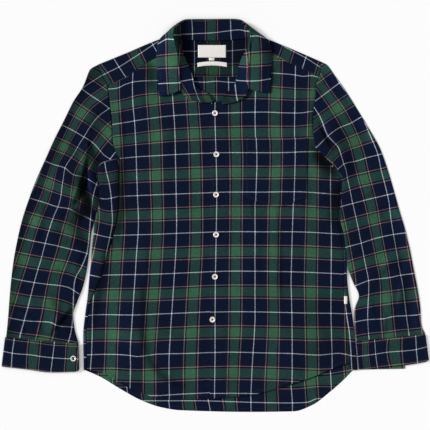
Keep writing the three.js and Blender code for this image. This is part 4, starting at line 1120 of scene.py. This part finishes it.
fallRows = table("rollX rollY rollZ midX midY midZ edgeX edgeY edgeZ", [
    (-69.6, 249.6, 9.2, -90.5, 241, 8.4, -111.5, 238, 5),
    (-73.3, 289.5, 14.5, -95, 285, 12, -115, 280, 5),
    (-76.8, 317, 19, -100, 316, 15, -117, 312, 5),
    (-81.8, 340, 23, -102, 340, 18, -115, 338, 5.4),
    (-85.5, 357, 24.5, -101, 354.5, 17, -109.5, 351.5, 5.4),
    (-82.5, 371.5, 22.6, -93.5, 365.5, 11.5, -98, 361.5, 2.6),
    (-71, 382.5, 17.6, -82, 375.5, 7.5, -85, 367, 1.2),
    (-55.5, 388.8, 13.4, -64, 382, 4, -70, 363, 1.2),
    (-8.5, 389.6, 11, -8.5, 376, 2.2, -8.5, 357, 1.2),
    (31, 389.9, 11.2, 33, 376.5, 2.2, 32, 357.5, 1.2),
    (48, 388.3, 13.4, 55, 381, 4, 60, 363, 1.2),
    (61, 379, 17.6, 72, 373, 7.5, 75, 366, 1.2),
    (70, 365.2, 22.6, 84.5, 363, 11.5, 89, 360.5, 2.6),
    (72, 350, 24.5, 93, 351.5, 17, 104, 349.5, 5.4),
    (71, 335.3, 23, 95, 337, 18, 111, 334, 5.4),
    (68.5, 314, 19, 93, 315, 15, 112, 311, 5),
    (67.3, 288, 14.5, 90, 286, 12, 111, 280, 5),
    (67, 252, 9.2, 88, 246.5, 8.4, 109.5, 245, 5),
])

# The band and the fall follow the neck, so their cloth runs along and across it.
fallMap = clothMap(
    [(firstOrange, [(166.5, 40), (166.5, 60), (168.5, 95)]), (secondOrange, [(179.5, 56), (179.5, 88)]),
     (1, [(192, 25)]), (2, [(231, 25)]),
     (2 + firstOrange, [(248.5, 40), (248.5, 90)]), (2 + secondOrange, [(260, 40), (261, 90)])],
    [(0, [(158, 84), (181, 83), (192, 81), (235, 80.5), (248, 81.5), (260, 81), (270, 79)]),
     (lowOrange, [(158, 69), (178, 68.5), (240, 67), (270, 65.5)]),
     (highOrange, [(158, 56), (182, 54.5), (243, 54), (270, 51.5)]),
     (1, [(160, 44), (167, 40.5), (172, 41), (251, 38), (257, 37.5), (264, 39)])])
standMap = clothMap(
    [(secondOrange, [(179.5, 50), (180, 80), (180, 24)]),
     (1, [(191.5, 71), (192.5, 79), (194.5, 88), (197, 95), (200, 102), (192, 22), (192.5, 36)]),
     (1 + firstOrange, [(203, 96), (205.5, 22), (205.5, 36)]),
     (1 + secondOrange, [(211, 97), (217.5, 22), (217.5, 36)]),
     (2, [(230.5, 22), (231, 36), (235.5, 73), (235.5, 88), (236.5, 96), (238, 103)]),
     (2 + firstOrange, [(245, 22), (246.5, 50), (247, 80)])],
    [(0, [(182, 81.5), (193, 79.5), (235, 80.5), (248, 81.5)]),
     (-firstOrange, [(184, 95), (196, 94), (236, 95.5), (245, 95.5)]),
     (lowOrange, [(178, 68.5), (192, 64.5), (240, 67)]),
     (highOrange, [(182, 54.5), (186, 54), (243, 54)]),
     (1, [(183, 34.5), (200, 33.5), (225, 31.5), (240, 30)]),
     (1 + lowOrange, [(185, 21.8), (205, 21.5), (240, 19.5)])])


def buildStand():
    # A ruled band: straight from the neck seam to the top edge, with a slight hollow.
    at = {column: alongRows(standRows, column) for column in standRows}
    s = cells(420, collarLook["cell"])[:, None]
    t = cells(34, collarLook["cell"])[None]
    x, y, z = (mix(at["base" + a](s), at["top" + a](s), t) for a in "XYZ")
    # At the back its foot reaches a little way over the yoke, and both corners of the neck are crumpled.
    y = y - 1.8 * smooth(336, 350, at["baseY"](s)) * (1 - t)
    corner = np.exp(-(((s - 0.36) / 0.05) ** 2)) + np.exp(-(((s - 0.66) / 0.05) ** 2))
    crumple = collarLook["crumple"] * corner * np.sin(math.pi * t)
    x = x + crumple * np.sin(95 * s + 3 * t)
    y = y + crumple * np.sin(80 * s - 4 * t)
    z = z + wall / 2 - 0.5 * np.sin(math.pi * t) - edgeDip(t * 34, 0.4, 1.0)
    endRound = np.minimum(s, 1 - s) * 420
    z = z - edgeDip(endRound, 0.5, 1.2)
    # Painted shade at both corners of the neck and at the band's ends, and a painted highlight on the
    # stretches under the leaves.
    atCorner = np.exp(-(((s - 0.35) / 0.06) ** 2)) + np.exp(-(((s - 0.67) / 0.06) ** 2))
    atEnd = np.exp(-((s / 0.06) ** 2)) + np.exp(-(((1 - s) / 0.06) ** 2))
    atLeaf = smooth(0.08, 0.13, s) * (1 - smooth(0.27, 0.31, s)) + smooth(0.7, 0.74, s) * (
        1 - smooth(0.87, 0.92, s))
    paintedLightAndShade = np.exp(0.35 * atLeaf - collarLook["cornerShade"] * atCorner * (1.3 - t) - 0.5 * atEnd) + 0 * t
    return gridObject("collar_stand_cloth", np.stack([x, y, z], -1), standMap(x, y), flip=True, paintedLightAndShade=paintedLightAndShade)


def buildFall():
    # A parabola across, through the roll, the middle and the free edge, after a lip over the stand's top.
    at = {column: alongRows(fallRows, column) for column in fallRows}
    standTop = {a: alongRows({"top": standRows["top" + a][4:-4]}, "top") for a in "XYZ"}
    s = cells(560, collarLook["cell"])[:, None]
    t = cells(62, collarLook["cell"])[None]
    weights = ((1 - t) * (1 - 2 * t), 4 * t * (1 - t), t * (2 * t - 1))
    x, y, z = (sum(w * at[place + a](s) for w, place in zip(weights, ("roll", "mid", "edge")))
               for a in "XYZ")
    fromEdge = np.minimum((1 - t) * 48, np.minimum(s, 1 - s) * 560)
    z = z + wall / 2 - 0.35 * np.exp(-((fromEdge - 6) ** 2) / 1.5) + 0.4 * ripple(x, y)
    k = np.array([[0.0, 0.3, 0.6, 0.85]])
    lipX, lipY, lipZ = (mix(standTop[a](s), at["roll" + a](s), k) for a in "XYZ")
    lipZ = lipZ + mix(wall * 1.5 + seamGap, wall / 2, k) + 0.5 * np.sin(math.pi * k)
    x, y, z = np.hstack([lipX, x]), np.hstack([lipY, y]), np.hstack([lipZ, z])
    # Painted highlight on the leaves and painted shade along the back of the neck.
    return gridObject("collar_fall_cloth", np.stack([x, y, z], -1), fallMap(x, y), flip=True,
                      paintedLightAndShade=mix(collarLook["fallPaintedHighlight"], 0.75,
                               smooth(0.27, 0.36, s) * (1 - smooth(0.64, 0.73, s))))


stand = buildStand()
fall = buildFall()
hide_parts("collar_stand")
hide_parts("collar_fall")
print("collar is made")


# Chest pocket
pocketLook = {"left": 61.5, "right": 183.5, "top": 154.5, "side": 34.0, "point": 14.0, "mismatch": 1.2}


def buildPocket():
    # A straight top and a pointed foot; it lies on the front, raised by its own wall.
    s = cells(122, 2.6)[:, None]
    t = cells(130, 2.6)[None]
    x = mix(pocketLook["left"], pocketLook["right"], s) + 0 * t
    bottom = mix(pocketLook["point"], pocketLook["side"], np.abs(2 * s - 1))
    y = mix(bottom, pocketLook["top"], t)
    fromEdge = np.minimum(np.minimum(s, 1 - s) * 122, t * 130)
    z = leftFrontTop(x, y) + wall + 2 * seamGap - edgeDip(fromEdge, 1.0, 1.0)
    z = z - 0.3 * np.exp(-((fromEdge - 2.5) ** 2)) + 0.5 * smooth(pocketLook["top"] - 27,
                                                                  pocketLook["top"] - 25, y)
    uv = leftFrontMap(x - pocketLook["mismatch"], y)
    return gridObject("chest_pocket_cloth", np.stack([x, y, z], -1), uv)


pocket = buildPocket()
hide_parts("chest_pocket")
print("pocket is made")


# Buttons: a dished disc with a rim and four holes, sewn with thread in two bars
buttonLook = {"radius": 5.7, "height": 2.3, "holeRadius": 0.95, "holeSpread": 1.1, "thread": 0.55}
buttonPlaces = {
    "button_1": (-0.5, 203.4), "button_2": (2.3, 121.2), "button_3": (1.7, 40.6),
    "button_4": (1.7, -39.4), "button_5": (-0.5, -123.4), "button_6": (-5.5, -209),
    "button_cuff_right": (-283.5, -286.6),
}


def plainObject(name, vertices, faces, material, flat=False):
    mesh = bpy.data.meshes.new(name)
    mesh.from_pydata((np.asarray(vertices) * mm).tolist(), [], np.asarray(faces).tolist())
    mesh.polygons.foreach_set("use_smooth", np.full(len(mesh.polygons), not flat))
    mesh.materials.append(material)
    item = bpy.data.objects.new(name, mesh)
    bpy.context.scene.collection.objects.link(item)
    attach(item, "root")
    return item


def turned(profile, segments):
    # A profile of radius and height turned about the upright axis: vertices and quads.
    angle = np.linspace(0, 2 * math.pi, segments, endpoint=False)
    radius, height = np.array(profile, float).T
    x = radius[:, None] * np.cos(angle)
    y = radius[:, None] * np.sin(angle)
    z = height[:, None] + 0 * angle
    index = np.arange(x.size).reshape(x.shape)
    following = np.roll(index, -1, axis=1)
    quads = np.stack([index[:-1], following[:-1], following[1:], index[1:]], -1).reshape(-1, 4)
    return np.stack([x, y, z], -1).reshape(-1, 3), quads


def buttonParts():
    r, h = buttonLook["radius"], buttonLook["height"]
    body = turned([(0.02, 0), (r - 0.5, 0), (r, 0.6), (r, h - 0.6), (r - 0.35, h - 0.1), (r - 0.9, h),
                   (r - 1.5, h - 0.15), (r - 2.2, h - 0.7), (1.5, h - 0.85), (0.02, h - 0.85)], 40)
    spots, threads = [], []
    # Each hole is a flat dark disc: the cloth seen through it, darkened with painted shade.
    for sx in (-1, 1):
        for sy in (-1, 1):
            disc, quads = turned([(buttonLook["holeRadius"], h - 0.8), (0.05, h - 0.76)], 14)
            offset = np.array([sx, sy, 0]) * buttonLook["holeSpread"]
            spots.append((disc + offset, quads))
    for angle, side in ((45, 0), (-45, 0), (0, -1), (0, 1)):
        # One bar of thread: a half ring over the bridge between two holes, crosswise or beside.
        along = np.linspace(-1, 1, 9)[:, None]
        heading, spread = math.radians(angle), buttonLook["holeSpread"]
        roundBar = np.linspace(0, 2 * math.pi, 8, endpoint=False)[None]
        far = along * spread * (1 if side else math.sqrt(2))
        wide = side * spread + buttonLook["thread"] * np.cos(roundBar)
        x = wide * math.cos(heading) - far * math.sin(heading)
        y = wide * math.sin(heading) + far * math.cos(heading)
        z = h - 0.75 + (0.3 if side else 0.5) * (1 - along ** 4) + 0.3 * np.sin(roundBar)
        index = np.arange(x.size).reshape(x.shape)
        following = np.roll(index, -1, axis=1)
        quads = np.stack([index[:-1], following[:-1], following[1:], index[1:]], -1).reshape(-1, 4)
        threads.append((np.stack([x, y, z], -1).reshape(-1, 3), quads[:, ::-1]))
    return body, joined(spots), joined(threads)


def joined(parts):
    # Several sets of vertices and faces as one.
    starts = np.cumsum([0] + [len(v) for v, _ in parts[:-1]])
    return np.concatenate([v for v, _ in parts]), np.concatenate([f + s for (_, f), s in zip(parts, starts)])


def buildButton(name, x, y, base):
    body, spots, threads = buttonParts()
    place = np.array([x, y, base])
    disc = plainObject(name + "_disc", body[0] + place, body[1], buttonMaterial)
    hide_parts(name)
    plainObject(name + "_holes", spots[0] + place, spots[1], holeMaterial)
    plainObject(name + "_thread", threads[0] + place, threads[1], threadMaterial)


for buttonName, (buttonX, buttonY) in buttonPlaces.items():
    lowest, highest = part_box(buttonName)
    buildButton(buttonName, buttonX, buttonY, lowest[2] / mm + 0.15)
print("buttons are made")


# Labels: plain woven tabs
labelLook = {
    "label_neck": {"left": -34.5, "right": 21.5, "bottom": 315, "top": 340, "droop": 0.0},
    "label_size": {"left": -12.5, "right": -1.5, "bottom": 309, "top": 314.5, "droop": 0.0},
    "label_care": {"left": -35.5, "right": 23.5, "bottom": 299, "top": 307.5, "droop": 3.0},
    "label_side": {"left": 257.5, "right": 264.5, "bottom": -178, "top": -162, "droop": 0.0},
}


def labelMaterial():
    # Off-white satin weave: fine ribs along Y over a slightly uneven white.
    material = plainMaterial("off-white woven label", "#e7e3dd", 0.55)
    tree = material.node_tree
    place = addNode(tree, "ShaderNodeTexCoord")
    ribs = addNode(tree, "ShaderNodeTexWave", {"wave_type": "BANDS", "bands_direction": "Y"},
                   Vector=place.outputs["Object"], Scale=500.0)
    bump = addNode(tree, "ShaderNodeBump", None, Height=ribs.outputs["Fac"], Strength=0.3, Distance=0.0001)
    tree.links.new(bump.outputs[0], tree.nodes["Principled BSDF"].inputs["Normal"])
    return material


labelWeave = labelMaterial()


def buildLabel(name, look):
    # A pillowed rectangle; its ends sag by the square of the distance from the middle.
    width, height = look["right"] - look["left"], look["top"] - look["bottom"]
    s = cells(width, 2.0, (0.3, 0.8))[:, None]
    t = cells(height, 2.0, (0.3, 0.8))[None]
    x = mix(look["left"], look["right"], s) + 0 * t
    y = mix(look["bottom"], look["top"], t) - look["droop"] * (2 * s - 1) ** 2
    lowest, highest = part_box(name)
    fromEdge = np.minimum(np.minimum(s, 1 - s) * width, np.minimum(t, 1 - t) * height)
    z = highest[2] / mm + 0.5 * np.sin(math.pi * s) * np.sin(math.pi * t) - edgeDip(fromEdge, 0.5, 0.5)
    uv = np.stack([x, y], -1)
    label = gridObject(name + "_weave", np.stack([x, y, z], -1), uv, material=labelWeave, thickness=0.9)
    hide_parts(name)


for labelName, look in labelLook.items():
    buildLabel(labelName, look)
print("labels are made")

# Stitching: short flattened bars of thread that follow the cloth below them
stitchLook = {"length": 2.3, "gap": 0.9, "width": 0.4, "rise": 0.14}


def pathOf(x, y):
    # A dense path as rows of x and y.
    return np.stack(np.broadcast_arrays(np.asarray(x, float), np.asarray(y, float)), -1).reshape(-1, 2)


def sew(name, piece, paths, thread, length=None, gap=None):
    length = length or stitchLook["length"]
    step = length + (stitchLook["gap"] if gap is None else gap)
    surface = BVHTree.FromObject(piece, bpy.context.evaluated_depsgraph_get())
    starts, ends = [], []
    for path in paths:
        travelled = np.concatenate([[0], np.cumsum(np.hypot(*np.diff(path, axis=0).T))])
        at = np.arange(0, travelled[-1] - length, step)
        for places, offset in ((starts, 0), (ends, length)):
            places.append(np.stack([np.interp(at + offset, travelled, path[:, i]) for i in (0, 1)], -1))
    start, end = np.concatenate(starts), np.concatenate(ends)
    heights, valid = [], np.ones(len(start), bool)
    for part in (0.0, 0.5, 1.0):
        column = []
        for i, (px, py) in enumerate(mix(start, end, part)):
            hit = surface.ray_cast((px * mm, py * mm, 0.2), (0, 0, -1))[0]
            valid[i] &= hit is not None
            column.append(0.0 if hit is None else hit.z / mm)
        heights.append(column)
    start, end, heights = start[valid], end[valid], np.array(heights)[:, valid]
    along = (end - start) / np.linalg.norm(end - start, axis=1)[:, None]
    side = np.stack([-along[:, 1], along[:, 0]], -1) * stitchLook["width"] / 2
    vertices = []
    for part, row, rise in zip((0.0, 0.5, 1.0), heights, (0.0, stitchLook["rise"], 0.0)):
        middle = mix(start, end, part)
        for offset, up in ((side, 0.02), (0 * side, 0.14), (-side, 0.02)):
            vertices.append(np.column_stack([middle + offset, row + up + rise]))
    vertices = np.stack(vertices, 1).reshape(-1, 3)
    cell = np.array([(0, 1, 4, 3), (1, 2, 5, 4), (3, 4, 7, 6), (4, 5, 8, 7)])
    faces = (cell[None] + 9 * np.arange(len(start))[:, None, None]).reshape(-1, 4)[:, ::-1]
    return plainObject(name + "_stitches", vertices, faces, thread)


def ovalPath(x, y, halfWidth, halfHeight):
    angle = np.linspace(0, 2 * math.pi, 60)
    return pathOf(x + halfWidth * np.cos(angle), y + halfHeight * np.sin(angle))


hemLine = np.linspace(0, 1, 200)
rightHemX, leftHemX = mix(-248, -14, hemLine), mix(-4, 262, hemLine)
backHemCurve = curve(backHem, "x", "y")
backHemX = mix(-236, 262, hemLine)
upY = mix(-352, 212, hemLine)
armRightY, armLeftY = mix(112, 268, hemLine), mix(140, 262, hemLine)
sew("front_right", frontRight, [
    pathOf(rightHemX, hemCurve(rightHemX) + 7),
    pathOf(curve(armholeRight, "y", "x")(armRightY) + 6, armRightY)], threadMaterial)
sew("front_left", frontLeft, [
    pathOf(leftHemX, hemCurve(leftHemX) + 7),
    pathOf(placketEdge + 6 + 0 * upY, upY),
    pathOf(placketEdge + frontLook["placketWidth"] + 0 * upY, upY),
    pathOf(curve(armholeLeft, "y", "x")(armLeftY) - 6, armLeftY)], threadMaterial)
sew("back", back, [pathOf(backHemX, backHemCurve(backHemX) + 7)], threadMaterial)
yokeRightX, yokeLeftX = mix(-211, -112, hemLine), mix(110, 205, hemLine)
sew("yoke", yoke, [pathOf(yokeRightX, rightSeamTop(yokeRightX) + 2.2),
                   pathOf(yokeLeftX, leftSeamTop(yokeLeftX) + 2.2)], threadMaterial)


def cuffPath(rows, sleeveRows, part, t):
    # A place on the upper layer of a cuff: part runs along it and t from the sleeve down to its edge.
    tip = {column: sleeveRows[column][-1] for column in sleeveRows}
    names = ("outer", "inner") if rows["upperX"][0] < 0 else ("inner", "outer")
    x = mix(tip[names[0] + "X"], tip[names[1] + "X"], part)
    y = mix(tip[names[0] + "Y"], tip[names[1] + "Y"], part)
    edgeX, edgeY = curve(rows, "part", "upperX")(part), curve(rows, "part", "upperY")(part)
    return pathOf(mix(x, edgeX, t), mix(y, edgeY, t))


for cuff, rows, sleeveRows in ((cuffRight, cuffRightRows, sleeveRightRows),
                               (cuffLeft, cuffLeftRows, sleeveLeftRows)):
    part, t = mix(0.02, 0.965, hemLine), mix(0.1, 0.9, hemLine)
    sew(cuff.name, cuff, [cuffPath(rows, sleeveRows, part, 0.1 + 0 * part),
                          cuffPath(rows, sleeveRows, part, 0.9 + 0 * part),
                          cuffPath(rows, sleeveRows, 0.965 + 0 * t, t)], threadMaterial)


def fallPath(s, t):
    at = {column: alongRows(fallRows, column) for column in fallRows}
    weights = ((1 - t) * (1 - 2 * t), 4 * t * (1 - t), t * (2 * t - 1))
    x, y = (sum(w * at[place + a](s) for w, place in zip(weights, ("roll", "mid", "edge"))) for a in "XY")
    return pathOf(x, y)


leafS, leafT = mix(0.012, 0.27, hemLine), mix(0.12, 0.87, hemLine)
sew("collar_fall", fall, [fallPath(leafS, 0.87 + 0 * leafS), fallPath(1 - leafS, 0.87 + 0 * leafS),
                          fallPath(0.012 + 0 * leafT, leafT), fallPath(0.988 + 0 * leafT, leafT)],
    threadMaterial)
pocketS = np.linspace(-1, 1, 200)
pocketMiddle = (pocketLook["left"] + pocketLook["right"]) / 2
pocketHalf = (pocketLook["right"] - pocketLook["left"]) / 2 - 2
pocketFoot = mix(pocketLook["point"], pocketLook["side"], np.abs(pocketS)) + 2.2
pocketUp = mix(pocketLook["side"] + 2.2, pocketLook["top"] - 1, hemLine)
sew("chest_pocket", pocket, [
    pathOf(pocketMiddle + pocketHalf * pocketS, pocketFoot),
    pathOf(pocketMiddle - pocketHalf + 0 * pocketUp, pocketUp),
    pathOf(pocketMiddle + pocketHalf + 0 * pocketUp, pocketUp),
    pathOf(pocketMiddle + pocketHalf * pocketS, pocketLook["top"] - 26 + 0 * pocketS)], threadMaterial)
sew("buttonholes_front", frontLeft, [ovalPath(x, y, 1.5, 8.0) for place, (x, y) in buttonPlaces.items()
                                     if place != "button_cuff_right"], threadMaterial, 1.3, 0.1)
sew("buttonhole_cuff_left", cuffLeft, [ovalPath(413, -266, 8.0, 1.5)], threadMaterial, 1.3, 0.1)
print("seams are stitched")
